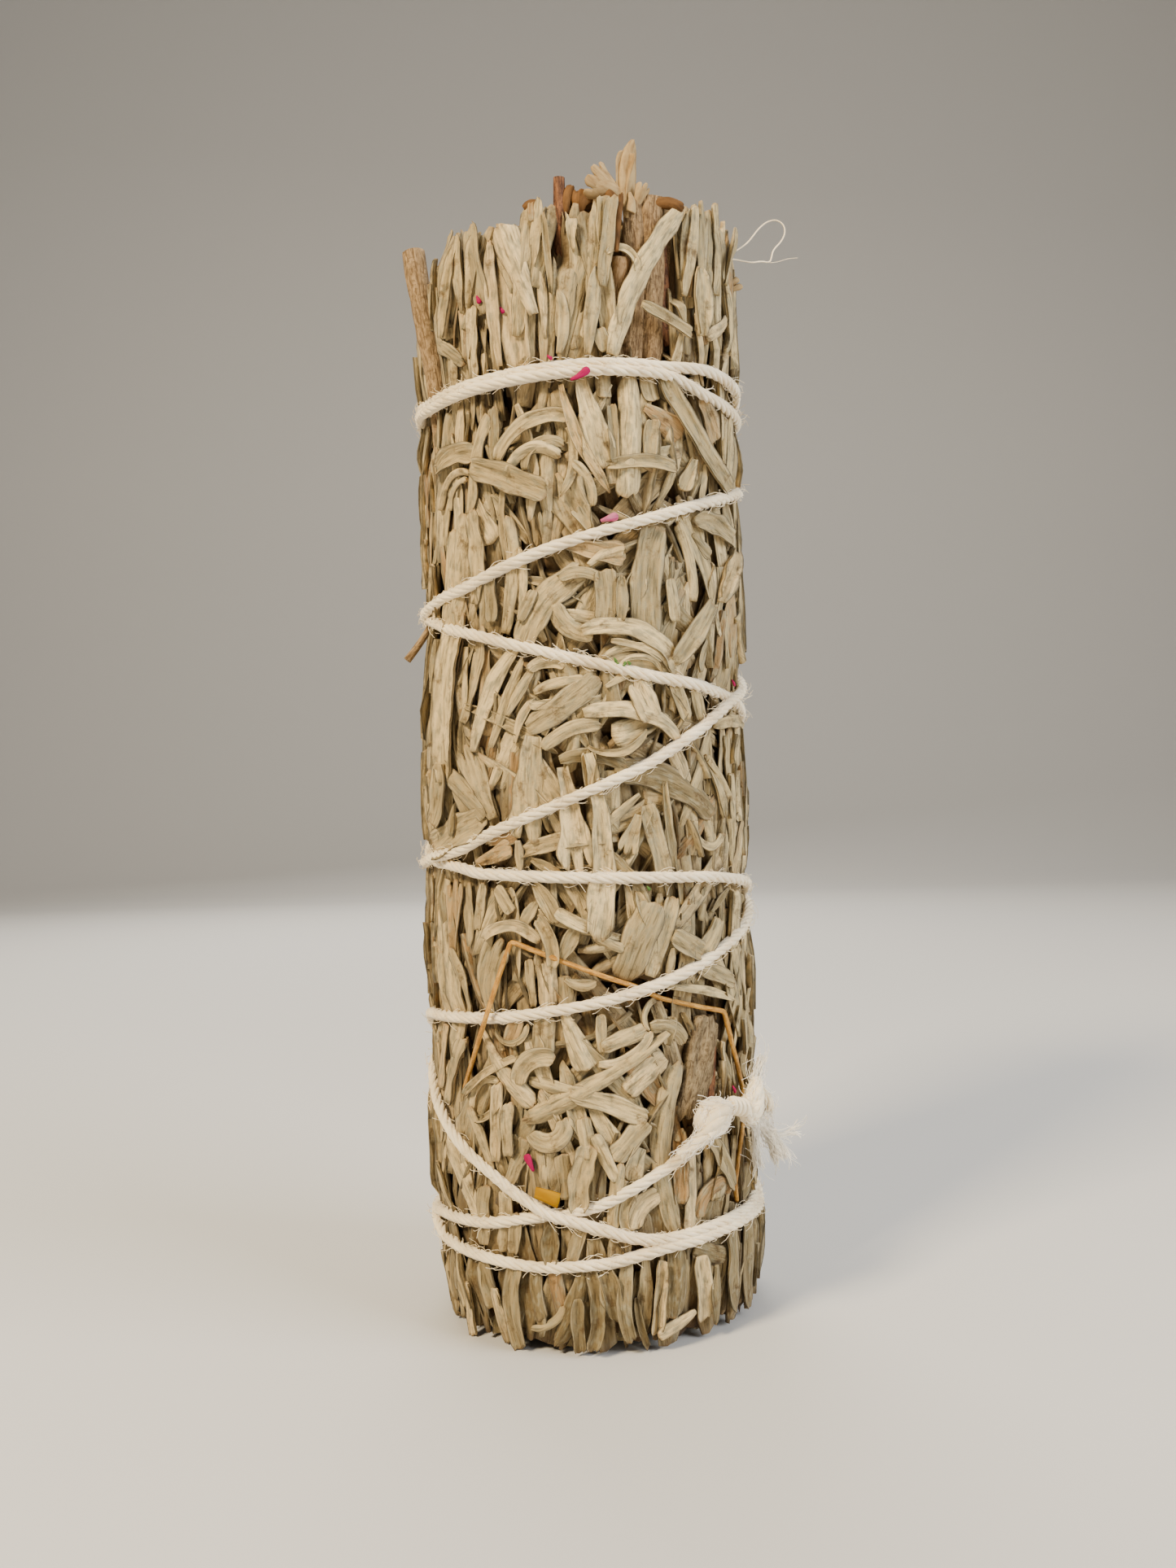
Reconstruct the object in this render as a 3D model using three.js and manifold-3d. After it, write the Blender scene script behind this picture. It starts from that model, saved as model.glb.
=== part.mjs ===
// A sage smudge stick: dried sagebrush sprigs packed into a round bundle that stands on its cut
// ends, bound with one length of white cotton string that goes up the bundle and comes back down.
// Millimetres, +Z up. An angle is in degrees round +Z, 0 at the front (-Y), growing towards +X.
import * as THREE from "three";
import { mergeVertices } from "three/addons/utils/BufferGeometryUtils.js";
import Module from "manifold-3d";

const wasm = await Module();
wasm.setup();

// Driving dimensions
const bundleLength = 102;
const bundleRadius = 16; // over the leaves
const stringDiameter = 1.2;
const gap = 0.3; // between any two pieces
const sprigCount = 8; // round the outside, with one more in the middle
const leafRows = 5; // rows of leaves up each outer sprig
const leafColumns = 3; // leaves side by side in a row
const lastRowRoom = 18; // how far from the sprig's end the last row of leaves is rooted
const heartRadius = 6.2;
const heartStemRadius = 1.5;
const stemOrbit = 10.2; // how far out the outer sprigs' stems stand
const seed = 41;

// Worked out from them
const stringBed = bundleRadius - 1.1; // nothing under the string stands higher than this
const chordSag = 0.15; // how far the string's straight steps cut inside its circle
const stringOrbit = stringBed + gap + stringDiameter / 2 + chordSag;
const packRadius = bundleRadius - 2.2; // the packed leaves that the outer leaves stand out of
const bladeFoot = packRadius - 0.6; // how deep a blade's underside is sunk
const sectorDegrees = 360 / sprigCount;
const packBottom = 0.8;

const finish = (color, roughness) => new THREE.MeshStandardMaterial({ color, roughness, metalness: 0 });
const finishes = {
  leaf: finish("#a89b78", 0.9),
  stem: finish("#8a6a48", 0.8),
  bark: finish("#75604a", 0.85),
  cotton: finish("#e9e3d6", 0.95),
  straw: finish("#c58b3c", 0.5),
  husk: finish("#cdb083", 0.85),
  pink: finish("#c3147a", 0.7),
  yellow: finish("#d99a12", 0.7),
};

const toRadians = THREE.MathUtils.degToRad;
const toDegrees = THREE.MathUtils.radToDeg;
const smoothstep = THREE.MathUtils.smoothstep;
const clamp = THREE.MathUtils.clamp;

function seededRandom(start) {
  let state = start >>> 0;
  return () => {
    state = (state + 0x6d2b79f5) >>> 0;
    let mixed = Math.imul(state ^ (state >>> 15), 1 | state);
    mixed = (mixed + Math.imul(mixed ^ (mixed >>> 7), 61 | mixed)) ^ mixed;
    return ((mixed ^ (mixed >>> 14)) >>> 0) / 4294967296;
  };
}
const random = seededRandom(seed);
const between = (low, high) => low + (high - low) * random();

function onBundle(angle, radius, height) {
  const turn = toRadians(angle);
  return new THREE.Vector3(radius * Math.sin(turn), -radius * Math.cos(turn), height);
}

// The sprigs lean a little one way and back again along the bundle, and draw in at the foot.
const leanDegrees = 4;
const leanAt = (height) => leanDegrees * Math.sin((height / bundleLength) * 1.5 * Math.PI + 0.4);
const footDraw = 0.035;
const footDrawHeight = 9;
const girthAt = (height) => 1 - footDraw * (1 - smoothstep(height, 0, footDrawHeight));

// The cut across the top rises a little towards +X.
const topRise = (angle) => 1.4 * Math.sin(toRadians(angle));
const packTop = (angle) => bundleLength - 2 + topRise(angle);

// A closed solid from a three.js geometry.
function solidOf(geometry) {
  const bare = geometry.index ? geometry.toNonIndexed() : geometry;
  bare.deleteAttribute("normal");
  bare.deleteAttribute("uv");
  const merged = mergeVertices(bare);
  return new wasm.Manifold(
    new wasm.Mesh({
      numProp: 3,
      vertProperties: merged.attributes.position.array,
      triVerts: new Uint32Array(merged.index.array),
    }),
  );
}

const joined = (solids) => solids.reduce((sum, next) => sum.add(next));

// A named mesh of the largest of the bodies that the cuts left: loose scraps are dropped.
function named(name, solid, material) {
  const [main] = solid.decompose().sort((a, b) => b.volume() - a.volume());
  const mesh = main.getMesh();
  const geometry = new THREE.BufferGeometry();
  geometry.setAttribute("position", new THREE.BufferAttribute(mesh.vertProperties, 3));
  geometry.setIndex(new THREE.BufferAttribute(mesh.triVerts, 1));
  const made = new THREE.Mesh(geometry, material);
  made.name = name;
  return made;
}

function bent(geometry, place) {
  const position = geometry.attributes.position;
  for (let i = 0; i < position.count; i++) {
    const moved = place(position.getX(i), position.getY(i), position.getZ(i));
    position.setXYZ(i, moved.x, moved.y, moved.z);
  }
  return geometry;
}

const polygon = (points) => new THREE.Shape(points.map(([x, y]) => new THREE.Vector2(x, y)));

function ringPoints(sides, radius, centre = { x: 0, y: 0 }) {
  return Array.from({ length: sides }, (_, i) => {
    const turn = ((i + 0.5) / sides) * 2 * Math.PI;
    return [centre.x + radius * Math.cos(turn), centre.y + radius * Math.sin(turn)];
  });
}

// A rod along points given as [angle, radius, height]. One that is grown is longer at both ends too.
function rod(route, radius, sides, steps, grow = 0) {
  const points = route.map((p) => onBundle(...p));
  const beyond = (end, next) => points.at(end).clone().sub(points.at(next)).setLength(grow);
  if (grow) {
    const [before, after] = [beyond(0, 1), beyond(-1, -2)];
    points[0].add(before);
    points.at(-1).add(after);
  }
  const path = new THREE.CatmullRomCurve3(points, false, "centripetal");
  const section = polygon(ringPoints(sides, radius + grow));
  return solidOf(new THREE.ExtrudeGeometry(section, { steps, extrudePath: path }));
}

// The string's route: [turn, height] with turn counted on past 360 for each time round.
// It starts at the knot, low at the right of the front, and ends there.
const knotTurn = 62;
const knotHeight = 20.4;
const stringRoute = [
  [62, 20.3], [90, 19.2], [135, 16.4], [180, 13.0], [225, 9.8], [258, 8.5], [277, 8.3], [340, 8.0],
  [370, 8.7], [400, 9.4], [433, 9.4], [450, 9.9], [475, 11.9], [540, 18.4], [610, 26.0], [640, 29.2],
  [690, 30.2], [722, 31.6], [747, 33.3], [773, 35.7], [810, 38.6], [900, 41.6], [975, 42.9], [1001, 43.8],
  [1035, 45.6], [1069, 49.1], [1100, 52.6], [1116, 55.0], [1141, 58.3], [1170, 60.8], [1260, 64.8],
  [1340, 67.4], [1357, 68.0], [1398, 69.2], [1431, 72.1], [1463, 74.6], [1482, 76.2], [1523, 79.2],
  [1620, 83.2], [1700, 85.2], [1731, 85.7], [1785, 86.7], [1808, 87.1], [1830, 87.1], [1850, 86.5],
  [1872, 85.5], [1895, 85.2], [1980, 86.2], [2060, 87.2], [2091, 87.4], [2145, 88.3], [2168, 88.7],
  [2190, 88.9], [2219, 88.8], [2243, 88.3], [2270, 86.4], [2340, 79.0], [2430, 68.5], [2440, 67.4],
  [2474, 65.4], [2510, 62.6], [2541, 60.5], [2582, 59.0], [2610, 57.4], [2700, 51.0], [2790, 45.0],
  [2800, 44.4], [2838, 43.2], [2880, 42.7], [2925, 42.2], [2955, 41.2], [2980, 39.6], [3060, 32.5],
  [3150, 23.8], [3157, 22.6], [3185, 18.2], [3202, 16.0], [3225, 12.7], [3245, 11.0], [3256, 10.7],
  [3270, 10.7], [3289, 11.0], [3314, 11.0], [3335, 10.6], [3420, 9.8], [3500, 10.0], [3517, 10.2],
  [3557, 11.2], [3574, 12.0], [3588, 12.8], [3601, 13.7], [3622, 16.4], [3640, 19.0], [3655, 20.4],
  [3662, 20.4],
];
const [firstTurn, lastTurn] = [stringRoute[0][0], stringRoute.at(-1)[0]];
const routeStep = 3; // degrees between the worked-out points of the string
const crossingReach = 9; // degrees that a lift is spread each way along the string

function heightOnRoute(turn) {
  const next = Math.max(1, stringRoute.findIndex(([t]) => t >= turn));
  const [t0, h0] = stringRoute[next - 1];
  const [t1, h1] = stringRoute[next];
  return h0 + ((h1 - h0) * (turn - t0)) / (t1 - t0);
}

// Where two stretches cross, the earlier one on the route rides over the later one.
function stringPoints() {
  const count = Math.round((lastTurn - firstTurn) / routeStep);
  const turns = Array.from({ length: count + 1 }, (_, i) => firstTurn + i * routeStep);
  const heights = turns.map(heightOnRoute);
  const lifts = turns.map(() => 0);
  const roundTrip = 360 / routeStep;
  const fullLift = stringDiameter + gap;
  for (let i = count; i >= 0; i--) {
    for (let j = i + roundTrip; j <= count; j += roundTrip) {
      const apart = Math.abs(heights[i] - heights[j]);
      const share = 1 - smoothstep(apart, 1.05 * stringDiameter, 1.25 * stringDiameter);
      lifts[i] = Math.max(lifts[i], (lifts[j] + fullLift) * share);
    }
  }
  const reach = Math.round(crossingReach / routeStep);
  const around = (list, i) => list.slice(Math.max(0, i - reach), i + reach + 1);
  const mean = (list) => list.reduce((a, b) => a + b) / list.length;
  const spread = lifts.map((_, i) => Math.max(...around(lifts, i)));
  return turns.map((turn, i) => {
    const lift = Math.max(mean(around(spread, i)), lifts[i]);
    return [turn, stringOrbit * girthAt(heights[i]) + lift, heights[i]];
  });
}

// How far a point on the bundle is, up or down, from the nearest stretch of string.
function stringDistance(angle, height) {
  let nearest = Infinity;
  for (let turn = THREE.MathUtils.euclideanModulo(angle, 360); turn <= lastTurn; turn += 360) {
    if (turn >= firstTurn) nearest = Math.min(nearest, Math.abs(height - heightOnRoute(turn)));
  }
  return nearest;
}

// Leaf outlines, drawn flat: across is x, the root is at y 0 and the tip at y = length.
function lobedOutline(length, half) {
  return [
    [-0.5, 0], [-half, 0.8 * length], [-0.78 * half, 0.95 * length], [-0.35 * half, 0.86 * length],
    [0, length],
    [0.35 * half, 0.86 * length], [0.78 * half, 0.95 * length], [half, 0.8 * length], [0.5, 0],
  ];
}
function strapOutline(length, half) {
  return [
    [-0.7, 0], [-half, 0.35 * length], [-half, 0.86 * length], [0, length], [half, 0.8 * length], [0.7, 0],
  ];
}
function slenderOutline(length, half) {
  return [[-0.4, 0], [-half, 0.5 * length], [0, length], [half, 0.55 * length], [0.4, 0]];
}
const leafKinds = [
  { outline: lobedOutline, length: [16, 21], width: [4.2, 5.2], share: 0.45 },
  { outline: strapOutline, length: [17, 24], width: [3.0, 4.0], share: 0.4 },
  { outline: slenderOutline, length: [13, 18], width: [2.4, 3.2], share: 0.15 },
];

function pickKind() {
  let left = random();
  for (const kind of leafKinds) {
    left -= kind.share;
    if (left < 0) return kind;
  }
  return leafKinds[0];
}

// One leaf of an outer sprig. It lies along the bundle, with its root sunk in the packed leaves and
// one long edge higher than the other. Its tip is lifted where no string passes over it.
const sectorEdge = toRadians(sectorDegrees / 2 - 1.1) * bundleRadius; // leaves keep within this
const tipRoom = 1.6; // up or down from the string, for a lifted tip
const leafAttempts = 40;
function sprigLeaf(sprigAngle, column, rootHeight, pointsUp) {
  const kind = pickKind();
  const length = between(...kind.length);
  const half = between(...kind.width) / 2;
  const outline = kind.outline(length, half);
  const inward = pointsUp ? -column : column;
  for (let attempt = 0; attempt < leafAttempts; attempt++) {
    const lean = (column ? inward * between(0, 17) : between(-24, 24)) * (1 - attempt / leafAttempts);
    const direction = toRadians(lean + (pointsUp ? 0 : 180));
    const side = column * (sectorEdge - half - 0.1) + between(-0.3, 0.3);
    const flat = (across, along) => [
      side + along * Math.sin(direction) + across * Math.cos(direction),
      rootHeight + along * Math.cos(direction) - across * Math.sin(direction),
    ];
    const reach = outline.map(([x, y]) => flat(x, y));
    const lowest = Math.min(...reach.map(([, h]) => h));
    const highest = Math.max(...reach.map(([, h]) => h));
    if (reach.some(([s]) => Math.abs(s) > sectorEdge)) continue;
    if (lowest < 0.1 || highest > bundleLength + 1 + topRise(sprigAngle)) continue;
    const angleOf = (s, h) => sprigAngle + toDegrees(s / bundleRadius) + leanAt(h);
    const tipClear = [0.4, 0.5, 0.65, 0.8, 0.9, 1, 1.1].every((share) =>
      [-half, 0, half].every((across) => {
        const [s, h] = flat(across, share * length);
        return stringDistance(angleOf(s, h), h) > tipRoom;
      }),
    );
    const rootTop = packRadius + between(0.2, 0.6);
    const bodyTop = stringBed - between(-0.1, 0.35);
    const roll = between(-0.6, 0.6);
    const tipTop = bundleRadius + between(-0.3, 0.3);
    const geometry = new THREE.ExtrudeGeometry(polygon(outline), { depth: 1, bevelEnabled: false });
    return solidOf(
      bent(geometry, (across, along, layer) => {
        const [s, h] = flat(across, along);
        const share = along / length;
        const lying = rootTop + (bodyTop - rootTop) * share + (roll * across) / half;
        const top = share > 0.75 && tipClear ? tipTop : clamp(lying, packRadius + 0.15, stringBed);
        const foot = share > 0.9 && tipClear ? tipTop - 1 : bladeFoot;
        return onBundle(angleOf(s, h), (layer > 0.5 ? top : foot) * girthAt(h), h);
      }),
    );
  }
  return null;
}

// A column that stands along the bundle and leans as the sprigs do. All the columns bend at much
// the same heights, so their faces stay apart.
const columnSteps = 6;
const upright = new THREE.Vector3(0, 0, 1);
function leaningColumn(shape, bottom, top) {
  const options = { depth: top - bottom, steps: columnSteps, bevelEnabled: false };
  return solidOf(
    bent(new THREE.ExtrudeGeometry(shape, options), (x, y, z) => {
      const height = bottom + z;
      const turned = new THREE.Vector3(x, y, 0).applyAxisAngle(upright, toRadians(leanAt(height)));
      return turned.multiplyScalar(girthAt(height)).setZ(height);
    }),
  );
}

// The packed leaves of a sprig, with a plain hole for its stem, and the stem in it.
const stemSides = 7;
function packedLeaves(points, stemCentre, stemRadius, top) {
  const shape = polygon(points);
  const hole = ringPoints(stemSides, stemRadius + gap + 0.1, stemCentre).reverse();
  shape.holes.push(new THREE.Path(hole.map(([x, y]) => new THREE.Vector2(x, y))));
  return leaningColumn(shape, packBottom, top);
}
function sprigStem(centre, radius, bottom, top) {
  return leaningColumn(polygon(ringPoints(stemSides, radius, centre)), bottom, top);
}

// Cut leaf edges that stand proud of the packed leaves at both ends of a sprig.
const cutThickness = 0.8;
function cutEdges(angle, orbits, spreadDegrees, top) {
  return orbits.flatMap((orbit, i) =>
    [true, false].map((atTop) => {
      const centre = angle + (i / (orbits.length - 1) - 0.5) * spreadDegrees;
      const rise = atTop ? between(0.6, 2.2) : packBottom;
      const box = new THREE.BoxGeometry(between(1.6, 2.4), cutThickness, rise + 1);
      box.rotateZ(toRadians(centre + between(-22, 22)));
      const spot = onBundle(centre + leanAt(atTop ? top : 0), orbit, 0);
      const middle = atTop ? top + (rise - 1) / 2 : (rise + 1) / 2;
      return solidOf(box.translate(spot.x, spot.y, middle));
    }),
  );
}

// The section of an outer sprig: a wedge of the bundle, half a gap clear of its neighbours.
function wedgePoints(angle) {
  const facets = 4;
  const innerRadius = heartRadius + gap;
  const limitAt = (radius) => sectorDegrees / 2 - toDegrees(Math.asin(gap / 2 / radius));
  const outer = Array.from({ length: facets + 1 }, (_, i) => {
    return onBundle(angle + limitAt(packRadius) * ((2 * i) / facets - 1), packRadius, 0);
  });
  const inner = [1, 0, -1].map((share) => onBundle(angle + share * limitAt(innerRadius), innerRadius, 0));
  return [...outer, ...inner].map((p) => [p.x, p.y]);
}

function outerSprig(index, slots) {
  const angle = index * sectorDegrees;
  const top = packTop(angle);
  const stemRadius = between(0.95, 1.3);
  const stemCentre = onBundle(angle, stemOrbit, 0);
  const solids = [
    packedLeaves(wedgePoints(angle), stemCentre, stemRadius, top),
    ...cutEdges(angle, [13, 7.6, 12.9, 7.6, 13], sectorDegrees - 15, top),
  ];
  const pointsUp = index % 2 === 0;
  const rowPitch = (bundleLength - lastRowRoom) / (leafRows - 1);
  for (let i = 0; i < leafRows * leafColumns; i++) {
    const column = (i % leafColumns) - 1;
    const row = Math.floor(i / leafColumns) + (column ? between(-0.2, 0.2) : between(0.3, 0.6));
    const fromEnd = 0.4 + Math.max(0, row) * rowPitch;
    const leaf = sprigLeaf(angle, column, pointsUp ? fromEnd : bundleLength - fromEnd, pointsUp);
    if (leaf) solids.push(leaf);
  }
  const leaves = slots.reduce((left, slot) => left.subtract(slot), joined(solids));
  const stemTop = bundleLength + topRise(angle) + between(-1, 0.7);
  const stem = sprigStem(stemCentre, stemRadius, between(0.15, 0.5), stemTop);
  const name = "sprig_" + (index + 1);
  return [named(name + "_leaves", leaves, finishes.leaf), named(name + "_stem", stem, finishes.stem)];
}

// The sprig in the middle. Its stem's lower cut end is the face that the stick stands on.
function heartSprig() {
  const sides = 16;
  const points = Array.from({ length: sides }, (_, i) => {
    const corner = onBundle((i / sides) * 360, heartRadius - (i % 2 ? 0.35 : 0), 0);
    return [corner.x, corner.y];
  });
  const top = packTop(0);
  const pack = packedLeaves(points, new THREE.Vector3(), heartStemRadius, top);
  const leaves = joined([pack, ...cutEdges(0, [4.7, 3.9, 4.7, 3.9, 4.7, 3.9], 300, top)]);
  const stem = sprigStem(new THREE.Vector3(), heartStemRadius, 0, bundleLength + 0.6);
  return [
    named("heart_sprig_leaves", leaves, finishes.leaf),
    named("heart_sprig_stem", stem, finishes.stem),
  ];
}

// An outline that is listed clockwise, with each side moved outwards.
function grownOutline(outline, grow) {
  const corners = outline.map(([x, y]) => new THREE.Vector2(x, y));
  const outward = (from, to) => new THREE.Vector2(from.y - to.y, to.x - from.x).normalize();
  return corners.map((corner, i) => {
    const before = outward(corners.at(i - 1), corner);
    const after = outward(corner, corners[(i + 1) % corners.length]);
    const way = before.clone().add(after).normalize();
    const moved = corner.clone().addScaledVector(way, grow / way.dot(before));
    return [moved.x, moved.y];
  });
}

// A flat piece that lies on the bundle, between two radii, such as a strip of bark or a petal chip.
function flatPiece({ outline, angle, height, direction, inner, outer }, grow = 0) {
  const shape = polygon(grownOutline(outline, grow));
  const turn = toRadians(direction);
  return solidOf(
    bent(new THREE.ExtrudeGeometry(shape, { depth: 1, bevelEnabled: false }), (across, along, layer) => {
      const s = along * Math.sin(turn) + across * Math.cos(turn);
      const h = height + along * Math.cos(turn) - across * Math.sin(turn);
      return onBundle(angle + toDegrees(s / bundleRadius), layer > 0.5 ? outer + grow : inner - grow, h);
    }),
  );
}

const barkPieces = {
  top_bark_stem: {
    outline: [
      [-1.9, 0], [-1.8, 14.5], [-1.2, 15.6], [0.3, 15.0], [1.5, 15.9], [1.9, 14.8], [1.7, 7], [1.2, 0],
    ],
    angle: 27, height: 87.9, direction: 3, inner: 13.2, outer: stringBed - 0.1,
  },
  lower_bark_strip: {
    outline: [
      [0.2, 0], [-1.2, 2.2], [-1.5, 5], [-1.4, 7.6], [-0.6, 8.2], [1.5, 7.9], [1.6, 5.4], [0.9, 2.4],
    ],
    angle: 35.8, height: 21, direction: 9, inner: 13.6, outer: 15.2,
  },
};

const petalChips = {
  yellow_petal_chip: {
    outline: [[-1.1, -0.6], [-0.9, 0.8], [0.9, 0.6], [1.1, -0.9]],
    angle: -17, height: 14.9, direction: 12, inner: 14.5, outer: 15.2, finish: finishes.yellow,
  },
  lower_pink_chip: {
    outline: [[-0.5, -0.9], [-0.6, 0.6], [0.1, 1.1], [0.6, -0.5]],
    angle: -23, height: 17.6, direction: -14, inner: 14.5, outer: 15.2, finish: finishes.pink,
  },
  upper_pink_chip: {
    outline: [[-0.9, -0.4], [-0.5, 0.5], [0.9, 0.5], [0.6, -0.4]],
    angle: 9, height: 76.1, direction: 10, inner: 14.5, outer: 15.2, finish: finishes.pink,
  },
};

const twigs = {
  left_edge_twig: {
    route: [[-64, 13.6, 77], [-66, 13.7, 90], [-73, 14.3, 97], [-79, 15.2, 103.6]],
    radius: 1.1,
  },
  front_cut_twig: { route: [[15, 13.6, 91], [15.3, 14.1, 94], [15.5, 14.6, 97.1]], radius: 0.65 },
  red_top_twig: { route: [[-4, 14, 97.5], [-3.5, 14.4, 101], [-3, 14.5, 104.8]], radius: 0.65 },
  left_stub_twig: { route: [[-88, 13.4, 69.6], [-89, 15, 66.6], [-91, 17.8, 63.9]], radius: 0.45 },
};
const twig = ({ route, radius }, grow = 0) => rod(route, radius, 7, 4, grow);

// A thin straw, bent sharply twice. It lies over the string once and then runs under it.
const strawRadius = 0.3;
const strawRoute = [
  [-46, 15.3, 23.4], [-41, 16.3, 27.2], [-35.5, 17.3, 31.2], [-29, 16.3, 35.7], [-27, 15.8, 36.9],
  [-24, 15.6, 36.8], [-7, 15.3, 35.1], [4, 14.9, 33.8], [14, 14.6, 32.7], [26, 14.6, 31.1],
  [36, 15.0, 30.4], [45.5, 15.6, 29.9], [47, 15.6, 29.3], [53, 15.3, 24.9], [58, 14.6, 20.0],
  [55, 14.6, 15.5], [51, 14.7, 12.4],
];
const straw = (grow = 0) => rod(strawRoute, strawRadius, 5, 28, grow);

// A papery husk that sticks up from the top: a tall blade, a side lobe and a short stalk.
const huskPieces = [
  {
    outline: [[-1, 0], [-1.2, 4.5], [-0.5, 7.6], [0.5, 10.2], [1.2, 10], [1.3, 5], [0.9, 0.5]],
    angle: 17, height: 97.6, direction: 2, inner: 13.9, outer: 14.7,
  },
  {
    outline: [[-0.6, 0], [-2.6, 2.2], [-2.2, 4.6], [0.4, 4.2], [1.4, 1.4]],
    angle: 13, height: 101.4, direction: 2, inner: 13.5, outer: 14.4,
  },
  {
    outline: [[-0.4, 0], [-0.5, 4], [0.5, 4], [0.4, 0]],
    angle: 16, height: 98.2, direction: 2, inner: 14, outer: 14.8,
  },
];
const paperyHusk = (grow = 0) => joined(huskPieces.map((piece) => flatPiece(piece, grow)));

// The whole string: its turns, the knot that joins its two ends, and the frayed tails.
const knotLumps = [
  { turn: -5, lift: 0.9, rise: -0.2, size: [1.5, 1.1, 1.2] },
  { turn: 1, lift: 1.2, rise: 0.2, size: [1.3, 0.9, 0.9] },
  { turn: 8, lift: 1.3, rise: 0.2, size: [1.4, 1.2, 1.5] },
];
const tailRadius = 0.5;
const tailRoot = [8, 1.3, 0.6];
const tailRoutes = [
  [tailRoot, [10, 1.6, 3], [11, 1.4, 5.4]],
  [tailRoot, [13, 2.6, -1], [15, 3.6, -2.2]],
  [tailRoot, [12, 2, -2.4], [14, 2.8, -5.2]],
  [tailRoot, [9, 1.1, -2], [9, 0.9, -3.9]],
];
const fromKnot = ([turn, lift, rise]) => [knotTurn + turn, stringOrbit + lift, knotHeight + rise];

function knotLump({ turn, lift, rise, size }) {
  const lump = new THREE.SphereGeometry(1, 8, 6);
  lump.scale(...size);
  lump.rotateZ(toRadians(knotTurn + turn));
  const spot = onBundle(...fromKnot([turn, lift, rise]));
  return solidOf(lump.translate(spot.x, spot.y, spot.z));
}

function cottonString() {
  const turns = rod(stringPoints(), stringDiameter / 2, 6, 205);
  const tails = tailRoutes.map((route) => rod(route.map(fromKnot), tailRadius, 6, 3));
  return joined([turns, ...knotLumps.map(knotLump), ...tails]);
}

// A loose thread, caught at both ends in the leaves at the right near the top, with a wisp on it.
const threadRadius = 0.3;
const threadRoutes = [
  [
    [74, 13, 100.9], [79.3, 16.1, 102.7], [82.7, 17.4, 103.8], [84.4, 18.5, 105.2], [86, 20.2, 105.9],
    [85.7, 21, 104.8], [84.2, 19.8, 103.2], [83.5, 19.3, 101.9], [81.6, 17.8, 101.5], [79.5, 16.2, 101.3],
    [79, 13, 99.8],
  ],
  [[83.5, 19.3, 101.9], [85.1, 21.2, 102.1], [85.9, 22, 102.2]],
];
const looseThread = (grow = 0) => joined(threadRoutes.map((route) => rod(route, threadRadius, 5, 24, grow)));

// Everything that lies in or on the leaves has room cut for it.
const slots = [
  ...Object.values(barkPieces).map((piece) => flatPiece(piece, gap)),
  ...Object.values(twigs).map((piece) => twig(piece, gap)),
  ...Object.values(petalChips).map((piece) => flatPiece(piece, gap)),
  paperyHusk(gap),
  straw(gap),
  looseThread(gap),
];

const stick = new THREE.Group();
for (let i = 0; i < sprigCount; i++) stick.add(...outerSprig(i, slots));
stick.add(...heartSprig());
for (const [name, piece] of Object.entries(barkPieces)) {
  stick.add(named(name, flatPiece(piece), finishes.bark));
}
for (const [name, piece] of Object.entries(twigs)) {
  stick.add(named(name, twig(piece), finishes.stem));
}
for (const [name, piece] of Object.entries(petalChips)) {
  stick.add(named(name, flatPiece(piece), piece.finish));
}
stick.add(named("papery_husk", paperyHusk(), finishes.husk));
stick.add(named("bent_straw", straw(), finishes.straw));
stick.add(named("cotton_string", cottonString(), finishes.cotton));
stick.add(named("loose_thread", looseThread(), finishes.cotton));

export default stick;
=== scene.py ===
import itertools
import math
import random

import bmesh
import bpy
import numpy as np
from mathutils import Matrix, Vector, noise


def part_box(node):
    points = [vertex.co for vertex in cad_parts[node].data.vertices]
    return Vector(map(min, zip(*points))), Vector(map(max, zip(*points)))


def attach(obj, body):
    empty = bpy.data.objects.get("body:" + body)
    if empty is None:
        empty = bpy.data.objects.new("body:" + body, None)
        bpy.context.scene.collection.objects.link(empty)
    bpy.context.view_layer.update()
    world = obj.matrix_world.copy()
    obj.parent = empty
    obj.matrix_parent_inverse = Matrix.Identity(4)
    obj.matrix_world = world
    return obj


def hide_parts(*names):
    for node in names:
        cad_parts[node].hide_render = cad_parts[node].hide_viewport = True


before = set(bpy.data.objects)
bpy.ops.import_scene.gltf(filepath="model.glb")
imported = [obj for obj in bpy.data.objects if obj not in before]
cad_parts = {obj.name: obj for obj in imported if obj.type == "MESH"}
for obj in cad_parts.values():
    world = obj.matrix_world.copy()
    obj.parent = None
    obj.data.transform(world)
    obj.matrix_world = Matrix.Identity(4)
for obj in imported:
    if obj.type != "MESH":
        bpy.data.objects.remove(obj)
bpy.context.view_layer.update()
print("frame:", len(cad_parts), "nodes")

# Everything below is in millimetres and degrees until a piece is finished, which brings it to metres.
# An angle goes round +Z, 0 at the front (-Y), growing towards +X.
mm = 0.001
bundle = {
    "radius": 16.0,         # across the pressed leaves, and where lengths round the bundle are measured
    "coreRadius": 13.0,     # the dark packed leaves that no light reaches
    "coreSpan": (3, 97),
    "topEdge": 102.2,       # the leaves' cut ends, above the foot
    "topSlope": 2.2,        # how much higher they are at +X
    "footDraw": 0.035,      # share by which the bundle draws in at its foot
    "footDrawHeight": 9.0,
    "bow": 0.026,           # share of its radius
    "waist": 0.7,           # how much the string has drawn in the upper left side
    "waistRise": (42, 76),
    "waistTop": 0.3,        # and how much it is still drawn in above the string
    "waistFall": (87, 99),
    "seed": 7,
}
rng = random.Random(bundle["seed"])


def smoothStep(low, high, x):
    share = np.clip((x - low) / (high - low), 0, 1)
    return share * share * (3 - 2 * share)


def girthAt(height):
    return 1 - bundle["footDraw"] * (1 - smoothStep(0, bundle["footDrawHeight"], height))


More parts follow.
